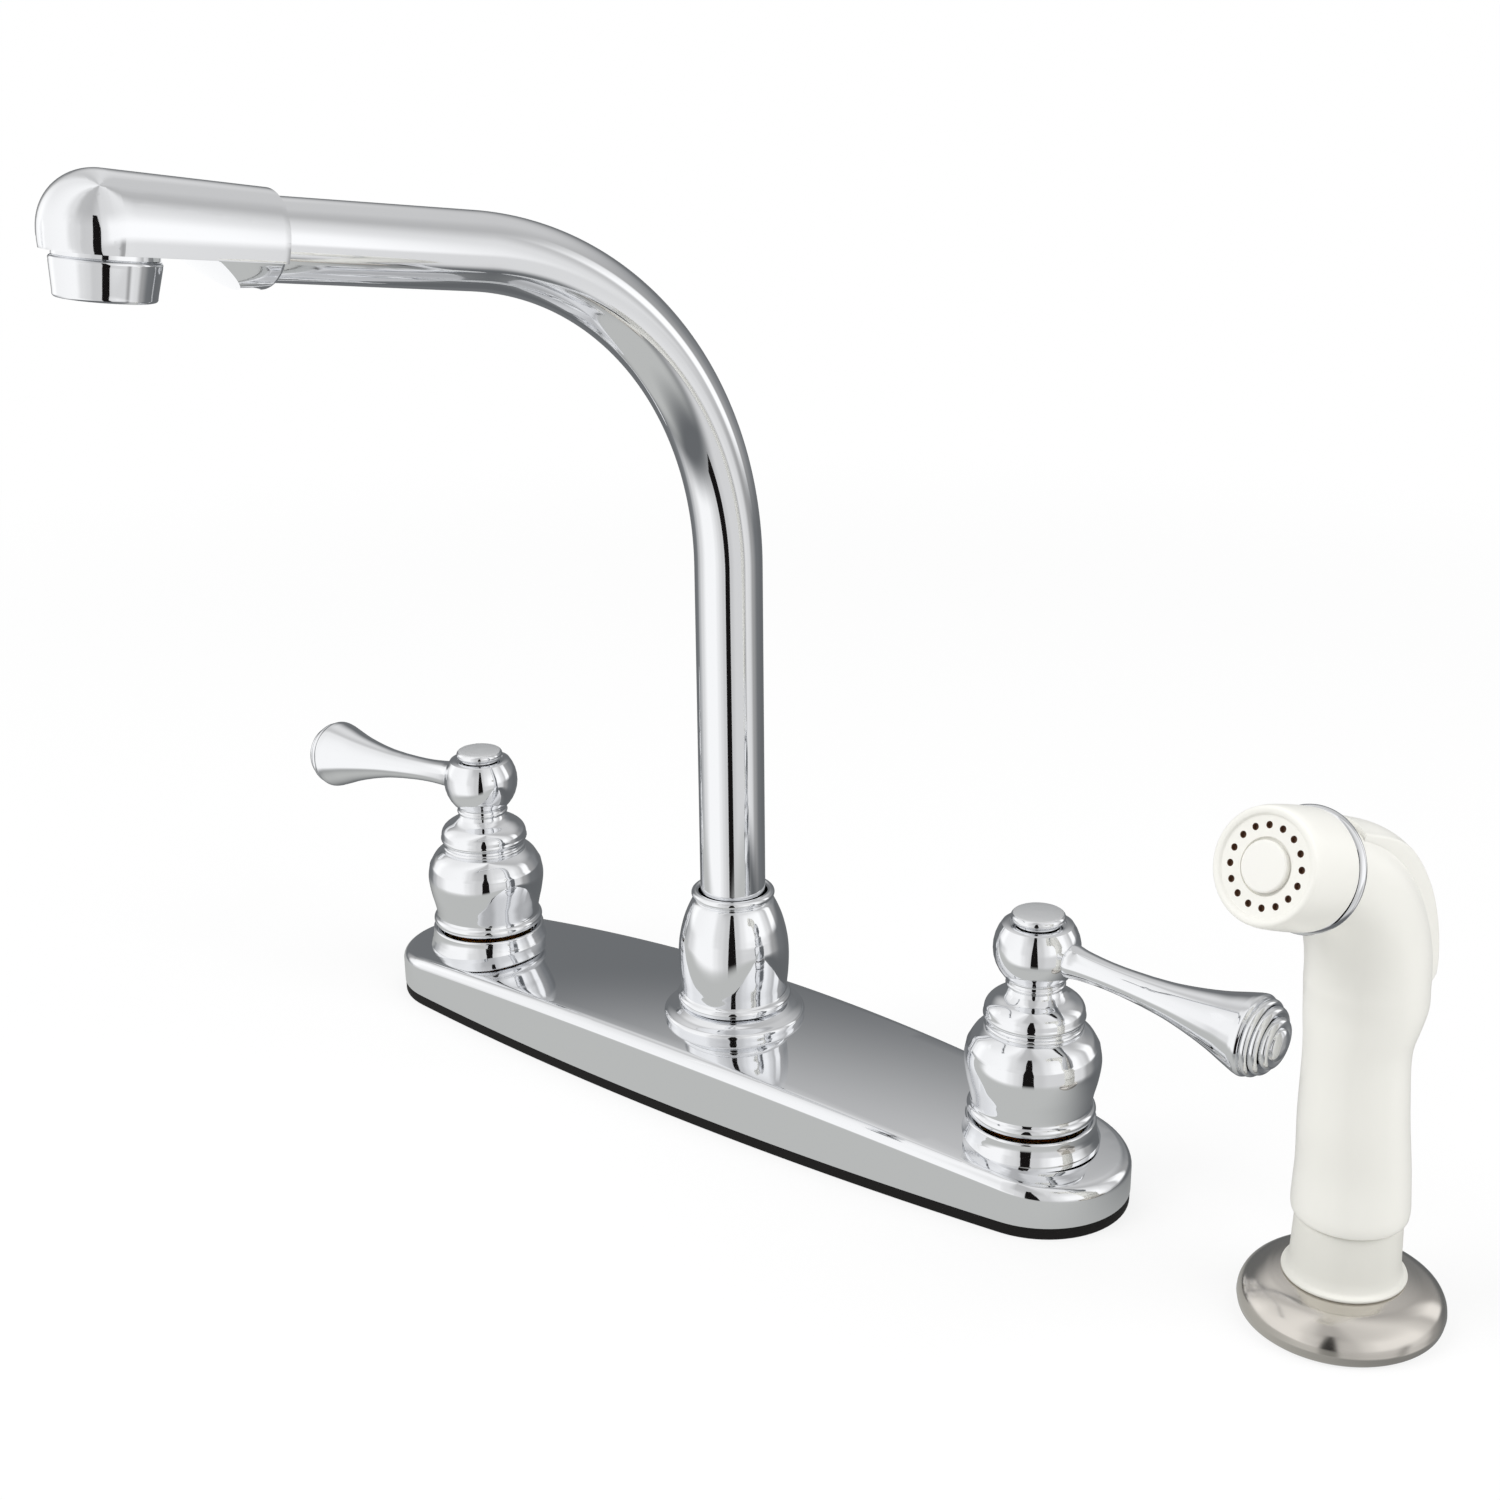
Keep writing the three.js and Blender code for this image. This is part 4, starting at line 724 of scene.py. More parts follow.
@dataclass
class Handle:
    """One valve's base ring and its turning handle: bell, collar, ball, lever and button."""

    side: Side
    plate: DeckPlate
    ring_radius: float = 17.6
    ring_bore: float = 15.6
    ring_top: float = 22.3
    ring_sunk: float = 1.5
    neck_top: float = 7.4
    ball_radius: float = 11.4
    ball_height: float = 70.6
    ball_cut: float = 77.6
    droop: float = 4.0
    turned: float = 2.6
    seat: float = 10.2
    screw_floor: float = 70.5
    button_sunk: float = 0.15
    flat_top: float = 0.85

    def base_ring(self) -> BMesh:
        """The plain ring on the deck, which the handle turns above.

        Returns:
            The ring's mesh.
        """
        low = self.plate.height(self.plate.reach) - self.ring_sunk
        wide = self.ring_radius
        profile = Profile().at((self.ring_bore, low), (wide + 1.1, low), (wide + 1.1, low + 1.4))
        profile.through((wide + 0.75, low + 2.3), (wide + 0.3, low + 3.6))
        profile.through((wide - 0.05, low + 5.2), (wide - 0.2, low + 6.6), steps=4)
        profile.arc(wide - 0.8, self.ring_top - 0.6, 0.6, 0, 90)
        return turn(profile.at((self.ring_bore, self.ring_top)), closed=True)

    def casting(self) -> BMesh:
        """Lip, bell, collar, neck and ball, turned in one piece with the bell hollow.

        Returns:
            The casting's mesh.
        """
        profile = Profile().at((14.9, 38.0), (14.9, 23.1), (15.3, 23.0))
        profile.arc(15.5, 24.7, 1.6, -80, 62)
        profile.through((16.05, 27.3), (16.6, 30.3), (17.5, 34.2), (18.08, 38.9), (17.5, 43.0))
        profile.through((15.7, 46.1), (13.6, 47.9), (12.75, 48.25), steps=5)
        profile.arc(12.3, 49.0, 0.75, -45, 80)
        profile.at((12.35, 49.95), (12.3, 50.35))
        profile.arc(12.35, 51.85, 1.1, -75, 30)
        profile.through((13.1, 53.9), (12.4, 55.2), (11.0, 56.4), (9.1, 57.5), (7.7, 58.9), steps=4)
        profile.through((7.28, 59.9), steps=3)
        profile.at((7.5, 60.1)).arc(7.2, 60.75, 0.65, -60, 60)
        start = -degrees(acos(self.neck_top / self.ball_radius))
        cut = degrees(asin((self.ball_cut - self.ball_height) / self.ball_radius))
        profile.arc(0, self.ball_height, self.ball_radius, start, cut - 2)
        top, floor = self.ball_cut, self.screw_floor
        profile.at((8.3, top), (7.4, top), (7.3, top - 0.5), (4.7, top - 0.5), (4.7, floor))
        return turn(profile.at((0, floor)), 144)

    def lever_frame(self) -> Matrix:
        """Where the lever's own axis lies, from the middle of the ball.

        Returns:
            From the lever's own frame to the handle's.
        """
        sign = self.side.value
        return (
            Matrix.Translation((0, 0, self.ball_height))
            @ Matrix.Rotation(radians(-sign * self.turned), 4, "Z")
            @ Matrix.Rotation(radians(sign * (90 + self.droop)), 4, "Y")
        )

    def boss(self) -> BMesh:
        """Small round seat on the ball, where the lever is screwed in."""
        profile = Profile().at((0, 8.0), (4.7, 8.0), (4.7, self.seat - 0.3))
        return turn(profile.at((4.4, self.seat), (0, self.seat)), 64)

    def lever(self) -> BMesh:
        """Slim at the root, flared like a trumpet, with a ringed end.

        Returns:
            The lever's mesh, along Z.
        """
        profile = Profile().at((0, self.seat + 0.1), (4.0, self.seat + 0.1), (4.5, self.seat + 0.5))
        profile.through((4.45, 11.6), (3.98, 14.5), (3.62, 20.5), (3.66, 26.5), (4.05, 33.5))
        profile.through((4.75, 40.0), (6.0, 46.8), (7.6, 53.3), (9.3, 58.6), (10.35, 61.9))
        profile.through((10.62, 63.4), (10.3, 64.3), steps=5)
        for radius, height, size in ((8.85, 65.35, 1.15), (7.45, 67.15, 1.4), (5.3, 68.95, 1.35)):
            profile.at((radius + 0.6 * size, height - 0.8 * size))
            profile.arc(radius, height, size, -34, 78)
        profile.at((4.25, 69.95)).through((3.9, 70.7), (2.4, 71.5), (0, 71.85), steps=5)
        return turn(profile, 128)

    def button(self) -> BMesh:
        """Round button over the handle's screw, with its own finish on its flat top.

        Returns:
            The button's mesh.
        """
        low = self.ball_cut - self.button_sunk
        profile = Profile().at((0, low), (5.9, low), (6.0, low + 0.45))
        profile.arc(5.8, low + 1.75, 1.3, -65, 72).through((4.0, low + 3.22), (0, low + 3.4))
        bm = turn(profile, 96)
        bm.normal_update()
        for face in bm.faces:
            face.material_index = 0 if face.normal.z > self.flat_top else 1
        return bm

    def build(self) -> None:
        """Places this side's ring, casting, lever and button."""
        word, body, chrome = self.side.word, self.side.body, PLATED_CHROME
        hub = Matrix.Translation((self.side.value * self.plate.reach, 0, 0))
        arm = hub @ self.lever_frame()
        ring = Piece(f"{word}_deck_ring", self.base_ring(), chrome, Body.BASE.value)
        ring.node = f"{word}_base_ring"
        ring.place(hub)
        for name, bm, node, frame in (
            ("bell_and_ball", self.casting(), f"{word}_handle", hub),
            ("lever_seat", self.boss(), None, arm),
            ("flared_lever", self.lever(), f"{word}_lever", arm),
        ):
            Piece(f"{word}_{name}", bm, chrome, body, node).place(frame)
        cap = Piece(f"{word}_button", self.button(), BUTTON_PLATING, body, f"{word}_index_button")
        cap.more = (chrome,)
        cap.place(hub)


# ---- Spout ------------------------------------------------------------------------------


@dataclass
class Spout:
    """Flange and bonnet on the deck, the bent tube, its head and the aerator."""

    radius: float = 9.3
    turned: float = 8.5
    foot: float = 46.0
    rise: float = 155.6
    bend_radius: float = 91.8
    bend: float = 82.2
    arm: float = 62.0
    head_start: float = 55.2
    head_end: float = 106.4
    head_radius: float = 10.9
    head_end_radius: float = 12.3
    nose_length: float = 12.2
    nose_fullness: float = 0.93
    flat: float = 4.5
    lean_in: float = 0.45
    belly_length: float = 18.0
    belly_edge: float = 0.35
    slant_end: float = 16.8
    slant_low: float = 11.0
    slant_run: float = 9.7
    back_edge: float = 1.3
    head_edge: float = 0.28
    cut_across: float = 1.5
    cut_along: float = 2.5
    screen_rings: tuple[tuple[int, float], ...] = ((6, 2.4), (12, 4.9))
    screen_hole: float = 0.65
    aerator_at: float = 92.4
    tube_sides: int = 96

    def swivel(self) -> Matrix:
        """The spout's place at rest, turned a little to the left."""
        return Matrix.Rotation(radians(-self.turned), 4, "Z")

    def arm_frame(self) -> Matrix:
        """From the head's own frame, with the arm along -Y, to the faucet's.

        Returns:
            The matrix.
        """
        lean = radians(self.bend)
        ahead = self.bend_radius * (1 - cos(lean))
        high = self.rise + self.bend_radius * sin(lean)
        tilt = Matrix.Rotation(radians(self.bend - 90), 4, "X")
        return self.swivel() @ Matrix.Translation((0, -ahead, high)) @ tilt

    def flange(self) -> BMesh:
        """Low flared ring between the deck plate and the bonnet.

        Returns:
            The flange's mesh.
        """
        profile = Profile().at((13.3, 19.0), (20.3, 19.0), (20.48, 21.9))
        profile.arc(19.2, 22.3, 1.3, 0, 62)
        profile.through((18.2, 23.95), (17.1, 24.6), (16.1, 25.2), steps=4)
        return turn(profile.at((13.3, 25.4)), 144, closed=True)

    def bonnet(self) -> BMesh:
        """Egg-shaped cover with a ring at its foot and one round the tube.

        Returns:
            The bonnet's mesh.
        """
        profile = Profile().at((9.9, 50.0), (9.9, 59.9)).arc(10.75, 59.6, 1.05, 150, 90)
        profile.arc(10.75, 59.45, 1.2, 80, -70, steps=15)
        profile.through((11.0, 57.9), (11.85, 57.0), (13.2, 54.2), (14.35, 51.1), (15.17, 47.9))
        profile.through((15.7, 44.8), (15.96, 41.4), (15.95, 38.0), (15.76, 34.6), (15.45, 31.6))
        profile.through((15.3, 29.3), steps=4).arc(15.05, 27.4, 1.55, 68, -72, steps=14)
        return turn(profile.at((13.3, 25.7), (13.3, 50.0)), 144, closed=True)

    def tube(self) -> BMesh:
        """A ring extruded up, spun round the bend and extruded out along the arm.

        Returns:
            The tube's mesh.
        """
        bm = bmesh.new()
        bmesh.ops.create_circle(bm, cap_ends=False, radius=self.radius, segments=self.tube_sides)
        bmesh.ops.translate(bm, verts=bm.verts, vec=(0, 0, self.foot))
        new, ring = extrude(bm, list(bm.edges))
        bmesh.ops.translate(bm, verts=new, vec=(0, 0, self.rise - self.foot))
        lean, middle = radians(self.bend), (0, -self.bend_radius, self.rise)
        ring = only(BMEdge, spin(bm, ring, middle, (1, 0, 0), lean, 72, merge=False))
        new, _ = extrude(bm, ring)
        bmesh.ops.translate(bm, verts=new, vec=Vector((0, -sin(lean), cos(lean))) * self.arm)
        return tidy(bm)

    def shell(self) -> BMesh:
        """Upper part of the head: an arched section flared to the front, with a domed nose.

        Returns:
            The closed bar.
        """
        middle = self.head_end - self.nose_length
        start, radius = self.head_start, self.head_radius
        flare = self.head_end_radius - radius
        run = [
            (start + (middle - start) * i / 12, 0.0, radius + flare * i / 12) for i in range(12)
        ]
        run += [(middle, radians(a), self.head_end_radius) for a in range(0, 89, 4)]
        rings = []
        for at, nose, radius in run:
            ahead = at + self.nose_length * sin(nose)
            share = cos(nose) ** self.nose_fullness
            across = radius * share
            angles = [radians(a) for a in range(0, 181, 3)]
            arch = [Vector((across * cos(a), -ahead, across * sin(a))) for a in angles]
            lower = []
            for k in range(6, 0, -1):
                inner = self.lean_in * (k / 6) ** 2
                out = ahead - inner * sin(nose)
                lower.append(Vector(((radius - inner) * share, -out, -self.flat * k / 6)))
            other = [Vector((-p.x, p.y, p.z)) for p in reversed(lower)]
            rings.append([*lower, *arch, *other])
        return sweep(rings)

    def belly(self) -> BMesh:
        """Round underside behind the slanted cut.

        Returns:
            The belly's mesh.
        """
        start, radius = self.head_start, self.head_radius
        end = start + self.belly_length
        share = self.belly_length / (self.head_end - self.nose_length - start)
        wide = radius + (self.head_end_radius - radius) * share
        profile = Profile().at((0, start), (radius - 1.2, start))
        profile.arc(radius - 1.3, start + 1.3, 1.25, -80, 0).at((wide, end), (0, end))
        bm = moved(turn(profile, 120), Matrix.Rotation(radians(90), 4, "X"))
        slant = Vector((0, -(self.slant_low - self.flat), -self.slant_run)).normalized()
        for place, normal in (
            (Vector((0, 0, -self.flat + 0.2)), Vector((0, 0, 1))),
            (Vector((0, -start - self.slant_end, -self.flat)), slant),
        ):
            cut = bisect(bm, place, normal, clear=True)
            bmesh.ops.contextual_create(bm, geom=only(BMEdge, cut))
        soften(bm, self.belly_edge, 30)
        return tidy(bm)

    def head(self) -> BMesh:
        """The head casting: bar with a domed nose, joined to the belly.

        Returns:
            The head's mesh.
        """
        bm = self.shell()
        at_back = {v for v in bm.verts if abs(v.co.y + self.head_start) < 0.01 and v.co.z > -0.01}
        bevel(bm, [e for e in bm.edges if set(e.verts) <= at_back], self.back_edge, 6)
        soften(bm, self.head_edge, 24)
        for i in range(-8, 9):
            bisect(bm, (i * self.cut_across, 0, 0), (1, 0, 0))
        for i in range(19):
            bisect(bm, (0, -self.head_start - 1.6 - self.cut_along * i, 0), (0, 1, 0))
        belly = self.belly()
        mesh = bpy.data.meshes.new("belly")
        belly.to_mesh(mesh)
        belly.free()
        bm.from_mesh(mesh)
        bpy.data.meshes.remove(mesh)
        return bm

    def aerator(self) -> BMesh:
        """Plain tapered aerator housing with a groove under its neck.

        Returns:
            The housing's mesh.
        """
        top = -self.flat + 0.3
        profile = Profile().at((7.6, top - 8.0), (7.6, top), (11.1, top), (11.1, top - 1.25))
        profile.at((10.95, top - 1.4)).arc(10.9, top - 2.15, 0.72, 88, -20)
        profile.at((11.55, top - 2.9), (10.85, top - 8.2)).arc(9.95, top - 9.2, 0.8, 5, -88)
        profile.at((8.6, top - 10.0), (8.2, top - 9.4), (7.6, top - 9.0))
        return turn(profile, 128, closed=True)

    def screen(self) -> BMesh:
        """Perforated insert seen inside the aerator from below.

        Returns:
            The insert's mesh.
        """
        low = -self.flat - 8.6
        span = (low - 1, low + 1.5)
        holes = []
        for count, ring in self.screen_rings:
            holes += ring_of(count, ring, 0, self.screen_hole, span, 16)
        return carve(rod(7.5, low, low + 5, 64), holes)

    def build(self) -> None:
        """Places the flange, bonnet, tube, head and aerator."""
        base, spout, chrome = Body.BASE.value, Body.SPOUT.value, PLATED_CHROME
        frame = self.arm_frame()
        tip = frame @ Matrix.Translation((0, -self.aerator_at, 0))
        Piece("deck_flange", self.flange(), chrome, base, "spout_flange").place()
        Piece("egg_bonnet", self.bonnet(), chrome, base, "spout_bonnet").place()
        Piece("bent_tube", self.tube(), chrome, spout, "spout_tube").place(self.swivel())
        Piece("outlet_head", self.head(), chrome, spout, "spout_head", 22).place(frame)
        Piece("aerator_shell", self.aerator(), chrome, spout, "aerator_housing").place(tip)
        Piece("aerator_screen", self.screen(), GREY_ACETAL, spout, "aerator_insert").place(tip)


# ---- Side spray -------------------------------------------------------------------------


@dataclass
class SideSpray:
    """Flange and guide on the sink, and the handset with its trigger and nozzle."""

    x: float = 192.8
    y: float = -3.1
    turned: float = 10.5
    bend_start: float = 90.0
    bend_offset: float = 2.3
    bend_radius: float = 36.0
    bend_angle: float = 71.8
    straight: float = 2.6
    neck_radii: tuple[float, ...] = (14.2, 14.1, 13.8, 13.4, 12.8, 12.2, 11.9)
    foot: tuple[Triple, ...] = (
        (28.1, 0, 13.2),
        (28.35, 0, 13.55),
        (28.9, 0, 13.8),
        (29.9, 0.05, 13.95),
    )
    grip: tuple[Triple, ...] = (
        (31.5, 0.1, 14.0),
        (36.0, 0.3, 13.75),
        (42.5, 0.7, 13.4),
        (53.8, 2.2, 12.95),
        (61.9, 2.9, 12.6),
        (70.0, 3.4, 12.3),
        (75.2, 3.4, 12.5),
        (80.1, 2.6, 13.4),
        (84.9, 1.9, 14.1),
        (90.0, 2.3, 14.2),
    )
    trigger_half: float = 8.7
    trigger_rise: float = 3.3
    trigger_lip: float = 87.2
    trigger_front: float = 66.5
    trigger_waist: float = 1.1
    trigger_travel: float = 2.6
    trigger_corner: float = 0.8
    trigger_start: float = 0.04
    trigger_under: float = 0.3
    trigger_end_rise: float = 0.9
    drop_from: float = 0.6
    waist_from: float = 0.3
    recess_depth: float = 1.1
    recess_height: float = 6.0
    side_gap: float = 0.2
    lip_gap: float = 1.6
    front_gap: float = 0.7
    pin_radius: float = 1.1
    pin_half: float = 6.2
    pin_at: float = 60.0
    pin_out: float = 8.3
    face: float = 16.7
    holes: int = 16
    hole_radius: float = 0.8
    hole_ring: float = 8.85
    hole_band: Point = (7.8, 9.8)
    sides: int = 72
    bend_steps: int = 36
    pad_steps: int = 30
    recess_steps: int = 24
    neck_short: float = 1.3

    def deck_place(self) -> Matrix:
        """The spray's own place on the sink deck."""
        return Matrix.Translation((self.x, self.y, 0))

    def handset_place(self) -> Matrix:
        """The handset's frame: its nozzle points along -Y there."""
        return self.deck_place() @ Matrix.Rotation(radians(-self.turned), 4, "Z")

    def on_bend(self, angle: float, out: float = 0.0) -> Point:
        """Distance forward and height of a place on the bend.

        Args:
            angle: Along the bend, in degrees.
            out: Distance outside the neck's middle line.

        Returns:
            Forward distance and height.
        """
        reach, lean = self.bend_radius + out, radians(angle)
        ahead = self.bend_offset + self.bend_radius - reach * cos(lean)
        return ahead, self.bend_start + reach * sin(lean)

    def trim_frame(self) -> Matrix:
        """From the nozzle's own frame, with its axis along Z, to the faucet's.

        Returns:
            The matrix.
        """
        ahead, high = self.on_bend(self.bend_angle)
        lean = radians(self.bend_angle)
        ahead += self.straight * sin(lean)
        high += self.straight * cos(lean)
        place = Matrix.Translation((0, -ahead, high))
        return self.handset_place() @ place @ Matrix.Rotation(lean, 4, "X")

    @staticmethod
    def section(high: float, ahead: float, lean: float, outline: Sequence[Point]) -> list[Vector]:
        """Lays a flat outline across the handset's middle line.

        Args:
            high: Height of the middle.
            ahead: How far forward the middle is.
            lean: Lean of the middle line from upright, in degrees.
            outline: Pairs of distance across and distance towards the back.

        Returns:
            Places in the handset's frame.
        """
        back, up = cos(radians(lean)), sin(radians(lean))
        return [Vector((a, -ahead + out * back, high + out * up)) for a, out in outline]

    def circle(self, radius: float) -> list[Point]:
        """Round outline of a given radius."""
        angles = [2 * pi * i / self.sides for i in range(self.sides)]
        return [(radius * sin(a), radius * cos(a)) for a in angles]

    def neck_radius(self, angle: float) -> float:
        """Radius of the neck at a place along its bend.

        Args:
            angle: Angle along the bend, in degrees.

        Returns:
            The radius.
        """
        radii = self.neck_radii
        share = max(0.0, min(angle / self.bend_angle, 1.0)) * (len(radii) - 1)
        low = min(int(share), len(radii) - 2)
        return radii[low] + (radii[low + 1] - radii[low]) * (share - low)

    def spot(self, high: float, angle: float | None) -> tuple[float, float, float, float]:
        """Place on the middle line, just under the bend or along it.

        Args:
            high: Its height, for a place under the bend.
            angle: Its angle along the bend, in degrees, or None under it.

        Returns:
            Height, distance forward, lean in degrees and the neck's radius.
        """
        if angle is None:
            return high, self.bend_offset, 0.0, self.neck_radius(0)
        ahead, high = self.on_bend(angle)
        return high, ahead, angle, self.neck_radius(angle)

    def stations(self) -> list[tuple[float, float, float, float]]:
        """Sections along the whole handset.

        Returns:
            Height, distance forward, lean and radius of each.
        """
        run = [(z, e, 0, r) for z, e, r in (*self.foot, *smooth_run(self.grip, 5)[:-1])]
        steps = self.bend_steps
        run += [self.spot(0.0, self.bend_angle * i / steps) for i in range(steps + 1)]
        high, ahead, _, radius = run[-1]
        lean, reach = radians(self.bend_angle), self.straight - self.neck_short
        high, ahead = high + reach * cos(lean), ahead + reach * sin(lean)
        return [*run, (high, ahead, self.bend_angle, radius)]

    @staticmethod
    def ease(share: float, start: float) -> float:
        """Smooth rise from 0 at a start to 1 at the end."""
        past = max(0.0, share - start) / (1 - start)
        return past**2 * (3 - 2 * past)

    def narrowed(self, half: float, share: float) -> float:
        """Half width at a share of the way along the pad, which narrows to the front."""
        return half - self.trigger_waist * self.ease(share, self.waist_from)

    def recess(self) -> BMesh:
        """Curved block over the back of the neck, deepest where the trigger sinks most.

        Returns:
            The block.
        """
        lip, front = self.trigger_lip - self.lip_gap, self.trigger_front + self.front_gap
        rings, steps = [], self.recess_steps
        for angle in (None, *(front * i / steps for i in range(steps + 1))):
            turned = angle or 0.0
            half = self.narrowed(self.trigger_half + self.side_gap, turned / front)
            high, ahead, lean, radius = self.spot(lip, angle)
            sink = self.trigger_travel * max(0.0, 1 - turned / self.pin_at)
            floor = [-half + 2 * half * i / 12 for i in range(13)]
            outline = [(a, sqrt(radius**2 - a**2) - self.recess_depth - sink) for a in floor]
            top = radius + self.recess_height
            outline = [(-half, top), *outline, (half, top)]
            rings.append(self.section(high, ahead, lean, outline))
        return sweep(rings)

    def handset(self) -> BMesh:
        """The grip and bent neck, with the recess that the trigger sinks into."""
        rings = [self.section(z, e, lean, self.circle(r)) for z, e, lean, r in self.stations()]
        return carve(sweep(rings), [self.recess()])

    def trigger(self) -> BMesh:
        """Thumb trigger: a pad that follows the back of the neck, with rounded shoulders.

        Returns:
            The pad's mesh.
        """
        corner, front = self.trigger_corner, self.trigger_front
        chamfer = ((0, 3.1), (0.5, 2.6), (1.3, 1.7), (2.1, 0.8), (2.6, 0.35))
        places = [(self.trigger_lip + d, None, s) for d, s in chamfer]
        start, steps = self.trigger_start, self.pad_steps
        for i in range(steps + 1):
            share = self.ease(i / steps, self.drop_from)
            shrink = (self.trigger_rise - self.trigger_end_rise) * share
            places.append((0.0, front * (start + (1 - start) * i / steps), shrink))
        rings = []
        for place, angle, shrink in places:
            high, ahead, lean, radius = self.spot(place, angle)
            top = radius + self.trigger_rise - shrink
            wide = self.narrowed(self.trigger_half, (angle or 0.0) / front)
            flat = [-wide + corner + (2 * (wide - corner)) * i / 16 for i in range(17)]
            crown = [(a, sqrt(top**2 - a**2)) for a in flat]
            edge = crown[0][1]
            turns = [radians(a) for a in range(0, 90, 15)]
            left = [
                (-wide + corner - corner * cos(t), edge - corner + corner * sin(t)) for t in turns
            ]
            right = [(-a, out) for a, out in reversed(left)]
            under = [wide - 2 * wide * i / 8 for i in range(9)]
            under = [(a, sqrt((radius - self.trigger_under) ** 2 - a**2)) for a in under]
            rings.append(self.section(high, ahead, lean, [*left, *crown, *right, *under]))
        return sweep(rings)

    def hinge(self) -> BMesh:
        """Cross pin near the trigger's front end, out of sight under the pad.

        Returns:
            The pin's mesh.
        """
        ahead, high = self.on_bend(self.pin_at)
        lean = radians(self.pin_at)
        ahead -= self.pin_out * cos(lean)
        high += self.pin_out * sin(lean)
        pin = rod(self.pin_radius, -self.pin_half, self.pin_half, 32)
        moved(pin, Matrix.Rotation(radians(90), 4, "Y"))
        return moved(pin, Matrix.Translation((0, -ahead, high)))

    def flange(self) -> BMesh:
        """Domed disc on the sink deck.

        Returns:
            The disc's mesh.
        """
        profile = Profile().at((12.3, 0.1), (23.3, 0.1)).through((24.4, 1.2), (24.9, 3.3), steps=5)
        profile.through((24.6, 5.2), (23.5, 7.3), (21.4, 9.2), (18.8, 10.6), (16.6, 11.25))
        return turn(profile.through((14.8, 11.6), steps=3).at((12.3, 11.6)), 160, closed=True)

    def guide(self) -> BMesh:
        """White guide: shank through the deck, flared lip, and a collar for the handset.

        Returns:
            The guide's mesh.
        """
        profile = Profile().at((8.6, -40), (11, -40), (12, -39), (12, 11.63), (14.4, 11.63))
        profile.arc(14.35, 12.2, 0.56, -80, 62).through(
            (13.8, 13.3), (13.3, 15.0), (13.12, 17.0), (12.95, 22.0), (12.75, 27.2), steps=5
        )
        return turn(profile.at((12.55, 27.6), (9.6, 27.6), (8.6, 26.2)), 128, closed=True)

    def trim(self) -> BMesh:
        """Chrome ring round the neck, behind the nozzle."""
        profile = Profile().at((9.9, -1.8), (13.2, -1.8)).arc(12.75, -0.3, 1.5, -72, 68)
        return turn(profile.at((13.35, 1.15), (9.9, 1.2)), 128, closed=True)

    def nozzle(self) -> BMesh:
        """White barrel with a rounded rim, a recessed plate and a ring of holes.

        Returns:
            The nozzle's mesh.
        """
        face = self.face
        profile = Profile().at((9.0, -5.0), (9.6, -5.0), (9.6, 1.3), (13.4, 1.3))
        profile.at((13.65, 1.6)).through((13.7, 5.0), (13.55, 10.5), (13.3, 14.4), steps=5)
        profile.arc(12.1, face - 0.95, 0.95, 18, 100)
        profile.through((11.35, face - 0.25), (10.95, face - 0.75), steps=4)
        profile.at((10.6, face - 0.85), (6.35, face - 0.85), (6.3, face - 1.6), (0, face - 1.6))
        bm = turn(profile, 128)
        low = {v for v in bm.verts if v.co.z < -4.9}
        bmesh.ops.contextual_create(bm, geom=[e for e in bm.edges if set(e.verts) <= low])
        floor, (inner, outer) = face - 2.0, self.hole_band
        span = (floor, face + 1)
        bm = carve(bm, ring_of(self.holes, self.hole_ring, 0.5, self.hole_radius, span, 24))
        # Faces inside the holes take the second material, which paints their shade.
        for part in bm.faces:
            middle = part.calc_center_median()
            on_ring = inner < hypot(middle.x, middle.y) < outer
            if on_ring and floor - 0.1 < middle.z < face - 0.95:
                part.material_index = 1
        return bm

    def core(self) -> BMesh:
        """Raised disc in the middle of the face.

        Returns:
            The disc's mesh.
        """
        face = self.face
        profile = Profile().at((0, face - 1.5), (5.65, face - 1.5), (5.65, face - 0.35))
        profile.arc(5.15, face - 0.35, 0.5, 0, 85).through((3.0, face + 0.25), (0, face + 0.3))
        return turn(profile, 96)

    def build(self) -> None:
        """Places the flange, guide, handset, trigger, pin, ring and nozzle."""
        base, handset, pad = Body.BASE.value, Body.HANDSET.value, Body.TRIGGER.value
        deck, hand, trim = self.deck_place(), self.handset_place(), self.trim_frame()
        Piece("sink_flange", self.flange(), SATIN_PLATING, base, "spray_flange").place(deck)
        # The guide gets the darker copy of the white plastic, with painted shade.
        Piece("guide_collar", self.guide(), SHADED_GUIDE_ABS, base, "spray_guide").place(deck)
        Piece("handset_shell", self.handset(), WHITE_ABS, handset, "spray_body").place(hand)
        Piece("thumb_pad", self.trigger(), WHITE_ABS, pad, "spray_trigger").place(hand)
        Piece("hinge_pin", self.hinge(), ZINC_STEEL, handset, "trigger_pin").place(hand)
        Piece("neck_ring", self.trim(), PLATED_CHROME, handset, "spray_trim_ring").place(trim)
        nozzle = Piece("nozzle_barrel", self.nozzle(), WHITE_ABS, handset, "spray_nozzle")
        # The second material paints the shade inside the spray holes.
        nozzle.more = (PAINTED_HOLE_SHADE,)
        nozzle.place(trim)
        Piece("face_disc", self.core(), FACE_ABS, handset, "spray_nozzle_core").place(trim)


# ---- Working pieces that keep their solids ------------------------------------------------


class HiddenParts:
    """Valve, waterway and under-deck pieces, which only get their finishes."""

    finishes = (TURNED_BRASS, ZINC_STEEL, SEAL_RUBBER, DISC_CERAMIC, WHITE_ABS, GREY_ACETAL)

    def dress(self, frame: dict[str, Any]) -> None:
        """Gives each kept node the finish of its slot.

        Args:
            frame: What the frame's loader returned.
        """
        by_slot = {finish.slot: finish for finish in self.finishes}
        for part in frame["record"]["subparts"]:
            node = frame["nodes"].get(part["node"])
            finish = by_slot.get(part["material_slot"])
            if node and finish and not node.hide_render:
                for slot in node.material_slots:
                    slot.material = finish.build()


